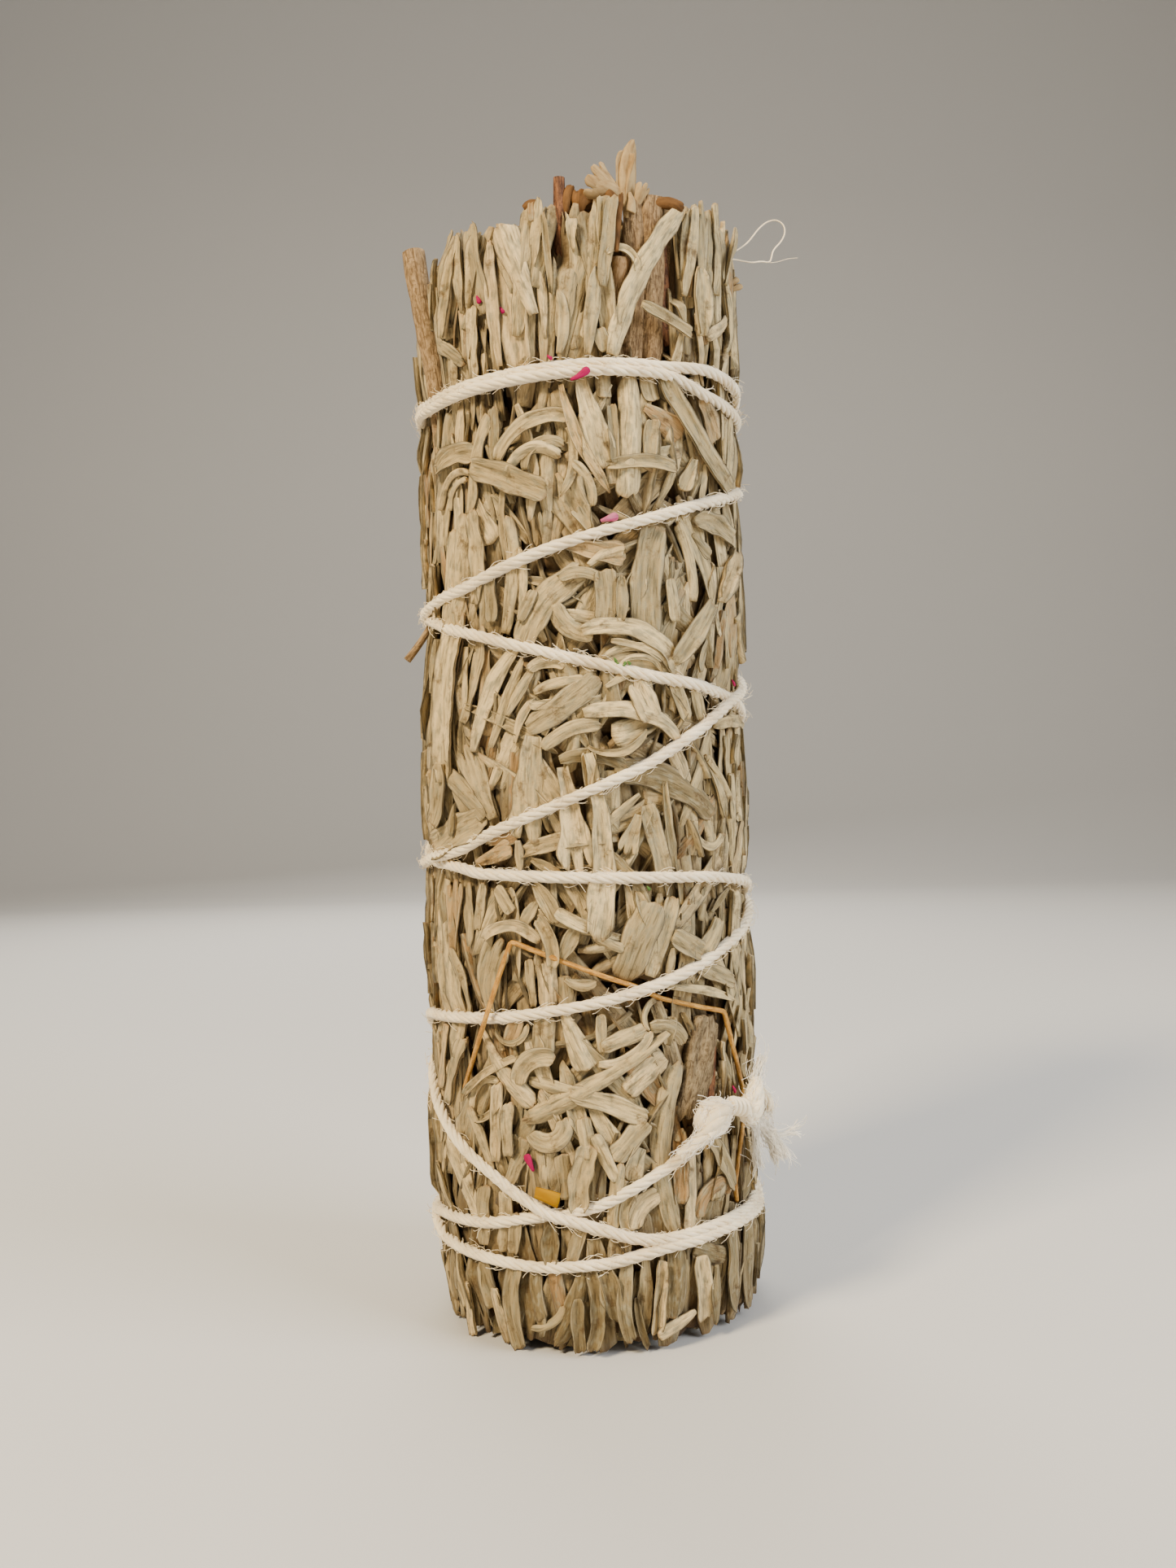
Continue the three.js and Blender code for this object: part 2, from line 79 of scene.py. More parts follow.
def bowedAt(angle, height):
    # the bundle bows a little towards -X half way up
    return 1 - bundle["bow"] * np.sin(np.radians(angle)) * np.sin(math.pi * height / bundle["topEdge"])


def topEdgeAt(angle):
    return bundle["topEdge"] + bundle["topSlope"] * math.sin(math.radians(angle))


def waistAt(angle, height):
    drawnIn = bundle["waist"] * smoothStep(*bundle["waistRise"], height)
    drawnIn = drawnIn - (bundle["waist"] - bundle["waistTop"]) * smoothStep(*bundle["waistFall"], height)
    return drawnIn * np.maximum(0, -np.sin(np.radians(angle))) ** 2


def onBundle(angle, radius, height):
    # arrays or numbers, as rows of x, y, z
    turn = np.radians(angle)
    out = radius * bowedAt(angle, height) - waistAt(angle, height)
    return np.stack((out * np.sin(turn), -out * np.cos(turn), height + 0 * turn), axis=-1)


def placed(name, data):
    thing = bpy.data.objects.new(name, data)
    bpy.context.scene.collection.objects.link(thing)
    return thing


def meshOf(name, bm):
    mesh = bpy.data.meshes.new(name)
    bm.to_mesh(mesh)
    bm.free()
    return mesh


# Camera and stage
photoView = {
    "distance": 139.0,      # from the bundle's axis, along -Y
    "height": 51.0,
    "roll": -1.64,          # the bundle leans that much to the left in the photo
    "focalPixels": 1710.0,
    "framePixels": 1927.0,  # the photo's long side
    "middle": (722.5, 963.5),
    "sensor": 36.0,
    "clipStart": 0.005,
}


def makeCamera():
    data = bpy.data.cameras.new("photoCamera")
    data.sensor_width = photoView["sensor"]
    data.lens = photoView["sensor"] * photoView["focalPixels"] / photoView["framePixels"]
    data.clip_start = photoView["clipStart"]
    camera = placed("photoCamera", data)
    place = Matrix.Translation((0, -photoView["distance"] * mm, photoView["height"] * mm))
    level = Matrix.Rotation(math.radians(90), 4, "X")
    camera.matrix_world = place @ level @ Matrix.Rotation(math.radians(photoView["roll"]), 4, "Z")
    bpy.context.scene.camera = camera


def photoRay(u, v):
    # how far a pixel of the photo lies to the right and up, for each millimetre away from the camera
    right, up = u - photoView["middle"][0], photoView["middle"][1] - v
    roll = math.radians(-photoView["roll"])
    level = right * math.cos(roll) + up * math.sin(roll), up * math.cos(roll) - right * math.sin(roll)
    return level[0] / photoView["focalPixels"], level[1] / photoView["focalPixels"]


def photoSpot(u, v, y=-14.0):
    # the point that a pixel shows, at that depth
    right, up = photoRay(u, v)
    away = photoView["distance"] + y
    return right * away, y, photoView["height"] + up * away


def photoLine(pixels, spotAt=photoSpot):
    return [spotAt(*pixel) for pixel in pixels]


def photoPlace(u, v, radius):
    # [angle, radius, height] at which a pixel meets the bundle's front at that radius
    right, up = photoRay(u, v)
    angle, height = 0.0, photoView["height"]
    for attempt in range(3):
        out = radius * float(bowedAt(angle, height))
        spread = right * right + 1
        reach = photoView["distance"] ** 2 - spread * (photoView["distance"] ** 2 - out * out)
        away = (photoView["distance"] - math.sqrt(max(reach, 0))) / spread
        angle = math.degrees(math.atan2(right * away, photoView["distance"] - away))
        height = photoView["height"] + up * away
    return angle, radius, height


def frontSpot(u, v, radius=16.2):
    return tuple(onBundle(*photoPlace(u, v, radius)))


studio = {      # in metres
    "floorSize": 1.6,
    "backdropDistance": 0.5,
    "backdropHeight": 0.9,
    "bendRadius": 0.25,
    "bendSteps": 12,
    "tint": (0.58, 0.57, 0.55, 1),
    "roughness": 0.9,
    "sky": (0.9, 0.93, 1.0, 1),
    "skyStrength": 0.13,
}


def makeStage():
    # a pale floor that bends up into a backdrop
    bm = bmesh.new()
    bmesh.ops.create_grid(bm, x_segments=1, y_segments=1, size=studio["floorSize"] / 2)
    back = studio["backdropDistance"]
    bmesh.ops.translate(bm, vec=(0, back - studio["floorSize"] / 2, 0), verts=bm.verts)
    farEdge = [e for e in bm.edges if all(v.co.y > back - 0.01 for v in e.verts)]
    turned = bmesh.ops.spin(
        bm, geom=farEdge, cent=(0, back, studio["bendRadius"]), axis=(1, 0, 0), dvec=(0, 0, 0),
        angle=math.radians(90), steps=studio["bendSteps"], use_merge=False, use_duplicate=False,
    )
    lastEdge = [g for g in turned["geom_last"] if isinstance(g, bmesh.types.BMEdge)]
    raised = bmesh.ops.extrude_edge_only(bm, edges=lastEdge)
    newVerts = [g for g in raised["geom"] if isinstance(g, bmesh.types.BMVert)]
    bmesh.ops.translate(bm, vec=(0, 0, studio["backdropHeight"]), verts=newVerts)
    bmesh.ops.recalc_face_normals(bm, faces=bm.faces)
    mesh = meshOf("studioFloor", bm)
    mesh.shade_smooth()
    material, tree, shader = newMaterial("studioPaper", studio["roughness"])
    shader.inputs["Base Color"].default_value = studio["tint"]
    mesh.materials.append(material)
    floor = placed("studioFloor", mesh)
    world = bpy.data.worlds.new("studioWorld")
    world.use_nodes = True
    sky = world.node_tree.nodes["Background"].inputs
    sky["Color"].default_value = studio["sky"]
    sky["Strength"].default_value = studio["skyStrength"]
    bpy.context.scene.world = world


lights = {      # place, aim and size in metres, power in watts, tint
    "keyLight": ((-0.24, -0.28, 0.36), (0, 0, 0.08), 0.11, 4.3, (1.0, 0.815, 0.54)),
    "fillLight": ((0.38, -0.22, 0.26), (0, 0, 0.09), 0.3, 3.2, (0.95, 0.96, 0.97)),
    "backLight": ((-0.08, 0.42, 0.3), (0, 0, 0.06), 0.3, 1.8, (1.0, 0.95, 0.86)),
    "topLight": ((0.05, 0.15, 0.6), (0, 0, 0.05), 0.5, 1.4, (1.0, 0.95, 0.88)),
}


def makeLights():
    for name, (spot, aim, size, power, tint) in lights.items():
        data = bpy.data.lights.new(name, "AREA")
        data.size = size
        data.energy = power
        data.color = tint
        lamp = placed(name, data)
        lamp.location = spot
        lamp.rotation_euler = (Vector(aim) - Vector(spot)).to_track_quat("-Z", "Y").to_euler()


# Materials
def newMaterial(name, roughness, specular=0.25):
    material = bpy.data.materials.new(name)
    material.use_nodes = True
    shader = material.node_tree.nodes["Principled BSDF"]
    shader.inputs["Roughness"].default_value = roughness
    shader.inputs["Specular IOR Level"].default_value = specular
    return material, material.node_tree, shader


def feed(tree, socket, value):
    # a number or a colour is set on the socket, and another node's output is linked to it
    if isinstance(value, tuple):
        socket.default_value = (*value, 1)
    elif isinstance(value, (int, float)):
        socket.default_value = value
    else:
        tree.links.new(value, socket)


def ramp(tree, share, stops):
    node = tree.nodes.new("ShaderNodeValToRGB")
    points = node.color_ramp.elements
    while len(points) < len(stops):
        points.new(0.5)
    for point, (place, colour) in zip(points, stops):
        point.position = place
        point.color = (*colour, 1)
    feed(tree, node.inputs["Fac"], share)
    return node.outputs["Color"]


def mathNode(tree, operation, first, second=0):
    node = tree.nodes.new("ShaderNodeMath")
    node.operation = operation
    for socket, value in zip(node.inputs, (first, second)):
        feed(tree, socket, value)
    return node.outputs[0]


def mapRange(tree, *values):
    # of a value: from low and high, to low and high
    node = tree.nodes.new("ShaderNodeMapRange")
    node.interpolation_type = "SMOOTHSTEP"
    for name, value in zip(("Value", "From Min", "From Max", "To Min", "To Max"), values):
        feed(tree, node.inputs[name], value)
    return node.outputs["Result"]


def mixColour(tree, factor, first, second, blend="MIX"):
    node = tree.nodes.new("ShaderNodeMix")
    node.data_type = "RGBA"
    node.blend_type = blend
    for socket, value in ((0, factor), (6, first), (7, second)):
        feed(tree, node.inputs[socket], value)
    return node.outputs[2]


def noiseNode(tree, vector, scale, detail=2.0, roughness=0.5):
    node = tree.nodes.new("ShaderNodeTexNoise")
    for name, value in (("Vector", vector), ("Scale", scale), ("Detail", detail), ("Roughness", roughness)):
        feed(tree, node.inputs[name], value)
    return node.outputs["Fac"]


def stretched(tree, vector, *shares):
    node = tree.nodes.new("ShaderNodeVectorMath")
    node.operation = "MULTIPLY"
    node.inputs[1].default_value = shares
    feed(tree, node.inputs[0], vector)
    return node.outputs[0]


def objectPlace(tree):
    return tree.nodes.new("ShaderNodeTexCoord").outputs["Object"]


def attributeNode(tree, name):
    # the attribute, and its three numbers apart
    node = tree.nodes.new("ShaderNodeAttribute")
    node.attribute_name = name
    split = tree.nodes.new("ShaderNodeSeparateXYZ")
    feed(tree, split.inputs[0], node.outputs["Vector"])
    return node.outputs["Vector"], split.outputs


def addBump(tree, shader, height, strength, distance):
    bump = tree.nodes.new("ShaderNodeBump")
    for name, value in (("Strength", strength), ("Distance", distance * mm), ("Height", height)):
        feed(tree, bump.inputs[name], value)
    feed(tree, shader.inputs["Normal"], bump.outputs["Normal"])


def addGroup(tree, group, name, value):
    node = tree.nodes.new("ShaderNodeGroup")
    node.node_tree = group
    feed(tree, node.inputs[name], value)
    return node.outputs


def newGroup(name, inputs, outputs):
    # an input without a number is a vector
    group = bpy.data.node_groups.new(name, "ShaderNodeTree")
    for label, value in inputs.items():
        kind = "NodeSocketVector" if value is None else "NodeSocketFloat"
        socket = group.interface.new_socket(name=label, in_out="INPUT", socket_type=kind)
        if value is not None:
            socket.default_value = value
    for label in outputs:
        group.interface.new_socket(name=label, in_out="OUTPUT", socket_type="NodeSocketFloat")
    return group, group.nodes.new("NodeGroupInput").outputs, group.nodes.new("NodeGroupOutput").inputs


def makeDepthShade():
    # painted shade between the leaves, partly also the dust down there: a share that falls with how deep a
    # place lies in the bundle
    sockets = {"Radius": 16.0, "Deep": 14.0, "Open": 15.9, "Darkest": 0.06}
    group, source, sink = newGroup("depthShade", sockets, ["Shade"])
    shade = mapRange(group, source["Radius"], source["Deep"], source["Open"], source["Darkest"], 1)
    feed(group, sink["Shade"], shade)
    return group


def makeLeafFelt():
    # coarse and fine streaks along a leaf, blotches and felt, from the place along and across the leaf
    sockets = {"Place": None, "Streak Scale": 2.2, "Line Scale": 5.5}
    marks = ["Streaks", "Lines", "Blotches", "Mottle", "Height"]
    group, source, sink = newGroup("leafFelt", sockets, marks)

    def along(stretch, scale, detail):
        drawnOut = stretched(group, source["Place"], stretch, 1.0, 37.0)
        return noiseNode(group, drawnOut, source[scale], detail)

    place = objectPlace(group)
    made = {
        "Streaks": along(0.16, "Streak Scale", 3.0),
        "Lines": along(0.1, "Line Scale", 2.0),
        "Blotches": along(0.45, "Streak Scale", 1.0),
        "Mottle": noiseNode(group, place, 620, 6.0, 0.68),
        "Height": mathNode(group, "MULTIPLY", noiseNode(group, place, 5200, 3.0, 0.7), 0.3),
    }
    for name, share in (("Streaks", 0.8), ("Lines", 0.25)):
        raised = mathNode(group, "MULTIPLY", made[name], share)
        made["Height"] = mathNode(group, "ADD", made["Height"], raised)
    for name, value in made.items():
        feed(group, sink[name], value)
    return group


sageFinish = {
    "tones": [
        (0.0, (0.19, 0.140, 0.064)),
        (0.18, (0.31, 0.24, 0.122)),
        (0.45, (0.46, 0.350, 0.172)),
        (0.72, (0.60, 0.465, 0.240)),
        (0.86, (0.62, 0.465, 0.235)),
        (0.93, (0.44, 0.303, 0.138)),
        (1.0, (0.31, 0.190, 0.078)),
    ],
    # the specks' dust, and also the brown of the painted shade deep between the leaves
    "dustAndShade": (0.075, 0.038, 0.013),
    "greyGreen": (0.29, 0.25, 0.15),
    # felty margins, partly a painted highlight where the rolled edges catch the light
    "paleEdge": (0.70, 0.56, 0.33),
    "cutTip": (0.34, 0.20, 0.08),
    # between which two values each mark comes in, and its strength at the one and the other
    "blotches": (0.48, 0.7, 0.0, 0.75),
    "rim": (0.72, 0.96, 0.0, 0.3),
    # a thin painted shadow line along each leaf's very edge
    "outline": (0.88, 1.0, 1.0, 0.34),
    "streaks": (0.3, 0.66, 0.70, 1.16),
    "lines": (0.32, 0.46, 0.62, 1.07),
    "specks": (0.53, 0.72, 0.0, 0.75),
    "tips": (0.95, 1.0, 0.0, 0.45),
    "roughness": 0.82,
    "specular": 0.15,
    "sheen": 0.06,
    "bump": 1.0,
    "bumpHeight": 0.3,
}


def makeSageMaterial():
    material, tree, shader = newMaterial("drySage", sageFinish["roughness"], sageFinish["specular"])
    shader.inputs["Sheen Weight"].default_value = sageFinish["sheen"]
    place, parts = attributeNode(tree, "leafPlace")
    spots = attributeNode(tree, "leafSpot")[1]
    felt = addGroup(tree, makeLeafFelt(), "Place", place)
    shade = addGroup(tree, makeDepthShade(), "Radius", spots["X"])["Shade"]

    def mark(name, value):
        return mapRange(tree, value, *sageFinish[name])

    colour = ramp(tree, parts["Z"], sageFinish["tones"])
    colour = mixColour(tree, mark("blotches", felt["Blotches"]), colour, sageFinish["greyGreen"])
    # pale felty margins, partly a painted highlight on the rolled edges
    colour = mixColour(tree, mark("rim", spots["Y"]), colour, sageFinish["paleEdge"])
    # painted shadow line along the leaf's edge
    colour = mixColour(tree, 1.0, colour, mark("outline", spots["Y"]), "MULTIPLY")
    streaks = mathNode(tree, "MULTIPLY", mark("streaks", felt["Streaks"]), mark("lines", felt["Lines"]))
    colour = mixColour(tree, 1.0, colour, streaks, "MULTIPLY")
    colour = mixColour(tree, mark("specks", felt["Mottle"]), colour, sageFinish["dustAndShade"])
    colour = mixColour(tree, mark("tips", spots["Z"]), colour, sageFinish["cutTip"])
    # painted shade: deeper places go over to dark brown
    colour = mixColour(tree, shade, sageFinish["dustAndShade"], colour)
    feed(tree, shader.inputs["Base Color"], colour)
    addBump(tree, shader, felt["Height"], sageFinish["bump"], sageFinish["bumpHeight"])
    return material


barks = {       # the tones of the cracks, the ridges and a cut end
    "tanBark": {"dark": (0.13, 0.075, 0.03), "light": (0.40, 0.27, 0.135), "cut": (0.5, 0.33, 0.18),
                "roughness": 0.75},
    "orangeBark": {"dark": (0.27, 0.15, 0.06), "light": (0.50, 0.32, 0.15), "cut": (0.70, 0.47, 0.25),
                   "roughness": 0.7},
    "redBark": {"dark": (0.05, 0.02, 0.01), "light": (0.26, 0.11, 0.045), "cut": (0.42, 0.15, 0.08),
                "roughness": 0.7, "lightFrom": 0.65},
    "brownBark": {"dark": (0.10, 0.055, 0.023), "light": (0.42, 0.275, 0.13), "cut": (0.48, 0.28, 0.12),
                  "roughness": 0.8, "lightFrom": 0.65},
    "greyBark": {"dark": (0.08, 0.050, 0.024), "light": (0.32, 0.235, 0.125), "cut": (0.36, 0.22, 0.12),
                 "roughness": 0.85},
    "goldStraw": {"dark": (0.38, 0.17, 0.03), "light": (0.66, 0.36, 0.08), "cut": (0.6, 0.42, 0.2),
                  "roughness": 0.4},
}


woodFinish = {      # between which two values each mark comes in, and its strength at the one and the other
    "pores": (0.5, 0.66, 0.0, 0.7),
    "cracks": (0.52, 0.62, 0.0, 0.85),
    "cut": (0.3, 0.7, 0.0, 1.0),
    "rings": (-0.2, 1.0, 0.0, 0.35),
    "pith": (1.7, 1.85, 0.0, 0.7),
    "ringScale": 26.0,
    "poreHeight": 0.4,      # beside the grain's
    "bump": 0.9,
    "bumpHeight": 0.2,
}


def makeWoodMaterial(name, dark, light, cut, roughness, lightFrom=0.6):
    # bark streaked along its length, with pores and cracks; twigPlace's third number is 1 at the rim of
    # a cut end and 2 at its middle
    material, tree, shader = newMaterial(name, roughness)
    place, parts = attributeNode(tree, "twigPlace")
    grain = noiseNode(tree, stretched(tree, place, 0.3, 1.0, 1.0), 2.4, 5.0, 0.6)
    pores = noiseNode(tree, objectPlace(tree), 2600, 3.0, 0.6)
    cracks = noiseNode(tree, stretched(tree, place, 0.14, 1.0, 1.0), 5.0, 3.0, 0.6)
    bark = ramp(tree, grain, [(0.3, dark), (lightFrom, light)])
    bark = mixColour(tree, mapRange(tree, pores, *woodFinish["pores"]), bark, dark)
    bark = mixColour(tree, mapRange(tree, cracks, *woodFinish["cracks"]), bark, dark)
    rings = mathNode(tree, "SINE", mathNode(tree, "MULTIPLY", parts["Z"], woodFinish["ringScale"]))
    ringed = mixColour(tree, mapRange(tree, rings, *woodFinish["rings"]), cut, light)
    ringed = mixColour(tree, mapRange(tree, parts["Z"], *woodFinish["pith"]), ringed, dark)
    atCut = mapRange(tree, parts["Z"], *woodFinish["cut"])
    feed(tree, shader.inputs["Base Color"], mixColour(tree, atCut, bark, ringed))
    rough = mathNode(tree, "ADD", grain, mathNode(tree, "MULTIPLY", pores, woodFinish["poreHeight"]))
    height = mathNode(tree, "SUBTRACT", rough, cracks)
    addBump(tree, shader, height, woodFinish["bump"], woodFinish["bumpHeight"])
    return material


papers = {      # two tones, the scale of the blotches, and roughness
    "paleHusk": ((0.24, 0.145, 0.06), (0.45, 0.32, 0.155), 2.2, 0.85),
    "amberBract": ((0.06, 0.029, 0.010), (0.21, 0.10, 0.032), 1.8, 0.7),
    "freshGreen": ((0.05, 0.11, 0.025), (0.11, 0.21, 0.05), 1.8, 0.8),
    "yellowPetal": ((0.30, 0.135, 0.001), (0.39, 0.20, 0.001), 1.5, 0.85),
    "pinkPetal": ((0.26, 0.002, 0.05), (0.42, 0.004, 0.10), 1.8, 0.7),
    "paleRosePetal": ((0.40, 0.03, 0.15), (0.52, 0.20, 0.27), 2.4, 0.8),
}


paperFinish = {
    "specular": 0.1,
    "drawnOut": (0.3, 1.0, 13.0),   # the blotches: along the blade, across it, and from blade to blade
    "darkTo": 0.3,
    "lightFrom": 0.65,
    "bump": 0.5,
    "bumpHeight": 0.08,
}


def makePaperMaterial(name, dark, light, scale, roughness):
    # thin dry petal or husk, blotched
    material, tree, shader = newMaterial(name, roughness, paperFinish["specular"])
    place = attributeNode(tree, "leafPlace")[0]
    blotch = noiseNode(tree, stretched(tree, place, *paperFinish["drawnOut"]), scale, 4.0, 0.6)
    tones = [(paperFinish["darkTo"], dark), (paperFinish["lightFrom"], light)]
    feed(tree, shader.inputs["Base Color"], ramp(tree, blotch, tones))
    addBump(tree, shader, blotch, paperFinish["bump"], paperFinish["bumpHeight"])
    return material


cottons = {     # soiled and clean
    "cottonYarn": ((0.76, 0.62, 0.40), (0.96, 0.83, 0.59)),
    "brushedCotton": ((0.84, 0.77, 0.64), (0.95, 0.90, 0.79)),
}


cottonFinish = {
    "roughness": 0.95,
    "sheen": 0.4,
    "soilScale": 260,
    "soiledTo": 0.3,
    "cleanFrom": 0.6,
    "fibreScale": 6500,
    "bump": 0.4,
    "bumpHeight": 0.06,
}


def makeCottonMaterial(name, soiled, clean):
    material, tree, shader = newMaterial(name, cottonFinish["roughness"])
    shader.inputs["Sheen Weight"].default_value = cottonFinish["sheen"]
    place = objectPlace(tree)
    soil = noiseNode(tree, place, cottonFinish["soilScale"], 3.0)
    tones = [(cottonFinish["soiledTo"], soiled), (cottonFinish["cleanFrom"], clean)]
    feed(tree, shader.inputs["Base Color"], ramp(tree, soil, tones))
    fibres = noiseNode(tree, place, cottonFinish["fibreScale"], 2.0)
    addBump(tree, shader, fibres, cottonFinish["bump"], cottonFinish["bumpHeight"])
    return material


materials = {"drySage": makeSageMaterial()}
materials.update({name: makeWoodMaterial(name, **bark) for name, bark in barks.items()})
materials.update({name: makePaperMaterial(name, *paper) for name, paper in papers.items()})
materials.update({name: makeCottonMaterial(name, *tones) for name, tones in cottons.items()})


def finishPiece(name, bm, material, node=None):
    # from millimetres to metres, then onto the frame in place of its CAD node
    for vert in bm.verts:
        vert.co.z = max(vert.co.z, 0)
    bmesh.ops.scale(bm, vec=(mm, mm, mm), verts=bm.verts)
    mesh = meshOf(name, bm)
    mesh.shade_smooth()
    mesh.materials.append(materials[material])
    print(name, len(mesh.polygons), "faces")
    piece = placed(name, mesh)
    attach(piece, "root")
    if node:
        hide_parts(node)


# The string's route, [turn, height], as in the CAD: the turn is counted on past 360 each time round
cotton = {
    "diameter": 1.2,
    "orbit": 15.9,          # its centre line, round the bundle
    "step": 2.0,            # degrees between the worked-out points
    "crossingReach": 8.0,   # degrees that a lift is spread each way along it
    "over": 0.6,            # how far one stretch is raised over another
    "under": -0.45,         # and how far the other is pressed in
    "side": 0.62,           # up or down, centre to centre, where two stretches are pulled together
    "sideLift": 0.22,       # how much further out the lower one of them lies
    "drawnFrom": 2.2,       # stretches nearer than this begin to be pulled together
    "drawnFully": 1.9,
    "smoothing": 3,         # steps each way over which the route's corners are rounded
    "strands": 5,
    "strandRadius": 0.255,
    "strandOffset": 0.31,
    "strandPitch": 5.6,     # along the string for one turn of its strands
    "coreShare": 1.7,       # how much thicker the core inside them is
    "hairs": 5600,
    "hairReach": 1.7,
    "hairRadius": 0.024,
    "knotPitch": 7.0,
    "knotHairs": 130,       # on each of the knot's forms
    "knotHairReach": 1.3,
    "tailHairReach": 2.4,
    "fibreStep": 0.32,
    "fibreRadius": 0.026,
}
stringRoute = [
    (62, 20.3), (90, 19.2), (135, 16.4), (180, 13.0), (225, 9.8), (258, 8.5), (277, 8.3), (340, 8.0),
    (370, 8.7), (400, 9.4), (433, 9.4), (450, 9.9), (475, 11.9), (540, 18.4), (610, 26.0), (640, 29.2),
    (690, 30.2), (722, 31.6), (747, 33.3), (773, 35.7), (810, 38.6), (900, 41.6), (975, 42.9),
    (1001, 43.8), (1035, 45.6), (1069, 49.1), (1100, 52.6), (1116, 55.0), (1141, 58.3), (1170, 60.8),
    (1260, 64.8), (1340, 67.4), (1357, 68.0), (1398, 69.2), (1431, 72.1), (1463, 74.6), (1482, 76.2),
    (1523, 79.2), (1620, 83.2), (1695, 86.2), (1717, 86.9), (1737, 86.2), (1785, 86.8), (1808, 87.1),
    (1830, 87.1), (1850, 86.5), (1872, 86.1), (1895, 86.2), (1980, 86.4), (2055, 88.2), (2077, 88.8),
    (2097, 87.9), (2145, 88.3), (2168, 88.7), (2190, 88.9), (2219, 88.9), (2243, 88.8), (2270, 86.6),
    (2340, 79.0), (2430, 68.5), (2440, 67.4), (2474, 65.4), (2510, 62.6), (2541, 60.5), (2582, 59.0),
    (2610, 57.4), (2700, 51.0), (2790, 45.0), (2800, 44.4), (2838, 43.2), (2880, 42.7), (2925, 42.2),
    (2955, 41.2), (2980, 39.6), (3060, 32.5), (3150, 23.8), (3157, 22.6), (3185, 18.2), (3202, 16.0),
    (3225, 12.7), (3245, 11.0), (3256, 10.7), (3270, 10.7), (3289, 11.0), (3314, 11.0), (3335, 10.6),
    (3420, 9.8), (3500, 10.0), (3517, 10.2), (3557, 11.2), (3574, 12.0), (3588, 12.8), (3601, 13.7),
    (3622, 16.4), (3640, 19.0), (3655, 20.4), (3662, 20.4),
]


def slidingMean(values, reach):
    padded = np.pad(values, reach, mode="edge")
    return np.convolve(padded, np.full(2 * reach + 1, 1 / (2 * reach + 1)), mode="valid")


def slidingMax(values, reach):
    padded = np.pad(values, reach, mode="edge")
    return np.max([padded[k:k + len(values)] for k in range(2 * reach + 1)], axis=0)


def stringLine():
    # turns, radii and heights of the string's centre line: stretches that run side by side touch,
    # and where two cross, the later one is pressed in and the earlier one rides over it
    turns = np.arange(stringRoute[0][0], stringRoute[-1][0] + 0.01, cotton["step"])
    heights = slidingMean(np.interp(turns, *zip(*stringRoute)), cotton["smoothing"])
    drawn, raisedSide, lifts = np.zeros((3, len(turns)))
    roundTrip = int(360 / cotton["step"])
    touching = 1.2 * cotton["diameter"]
    for i in reversed(range(len(turns))):
        for j in range(i + roundTrip, len(turns), roundTrip):
            apart = heights[j] - heights[i]
            if touching < abs(apart) < cotton["drawnFrom"]:
                share = 1 - smoothStep(cotton["drawnFully"], cotton["drawnFrom"], abs(apart))
                raisedSide[i] = max(raisedSide[i], cotton["sideLift"] * share)
                pull = share * (abs(apart) - cotton["side"]) / 2 * math.copysign(1, apart)
                drawn[i] += pull
                drawn[j] -= pull
            share = 1 - smoothStep(0.95 * cotton["diameter"], touching, abs(apart))
            lifts[i] = max(lifts[i], cotton["over"] * share)
            lifts[j] = min(lifts[j], cotton["under"] * share)
    reach = int(cotton["crossingReach"] / cotton["step"])
    raised = slidingMean(slidingMax(np.maximum(lifts, 0), reach), reach)
    pressed = slidingMean(slidingMax(np.maximum(-lifts, 0), reach), reach)
    radii = cotton["orbit"] * girthAt(heights) + np.where(raised > pressed, raised, -pressed)
    radii = radii + slidingMean(raisedSide, 4)
    return turns, slidingMean(radii, 2), heights + slidingMean(drawn, 4)


stringTurns, stringRadii, stringHeights = stringLine()

# The twigs, straw, bark and petals, where their CAD nodes are: [angle, radius, height] along each one.
# clear is how wide a lane is kept free of leaves, floor how far under the piece the leaves stay,
# shown how many of its last points are in sight, towards how far round the lane is moved to the front,
# and clearFrom the height at which the lane begins.
twigs = {
    "left_edge_twig": {
        "route": [
            (-64, 13.9, 77), (-66, 14.5, 84), (-69, 14.8, 90), (-74.5, 15.4, 97), (-79.5, 16.2, 103.3),
        ],
        "radii": [0.8, 1.0, 1.0, 1.05, 1.15], "clear": 1.6, "floor": 0.8, "bark": "tanBark",
        "towards": 5, "shown": 3,
    },
    "front_cut_twig": {
        "route": [(14.6, 13.7, 91), (15.6, 14.2, 94), (16.5, 15.1, 98)],
        "radii": [0.62, 0.72, 0.8], "clear": 0.6, "floor": 0.3, "bark": "orangeBark",
        "shown": 2, "clearFrom": 95.4,
    },
    "red_top_twig": {
        "route": [(-4.6, 13.9, 97.5), (-4.4, 14.3, 101), (-4.2, 14.5, 105.3)],
        "radii": [0.55, 0.55, 0.5], "clear": 0.1, "floor": -0.5, "bark": "redBark",
    },
    "left_stub_twig": {
        "route": [(-88, 13.6, 69.6), (-89, 15.4, 67.2), (-90, 16.6, 65.4), (-91, 17.8, 63.9)],
        "radii": [0.36, 0.34, 0.34, 0.4], "clear": 0.4, "floor": 0.4, "bark": "tanBark",
    },
}
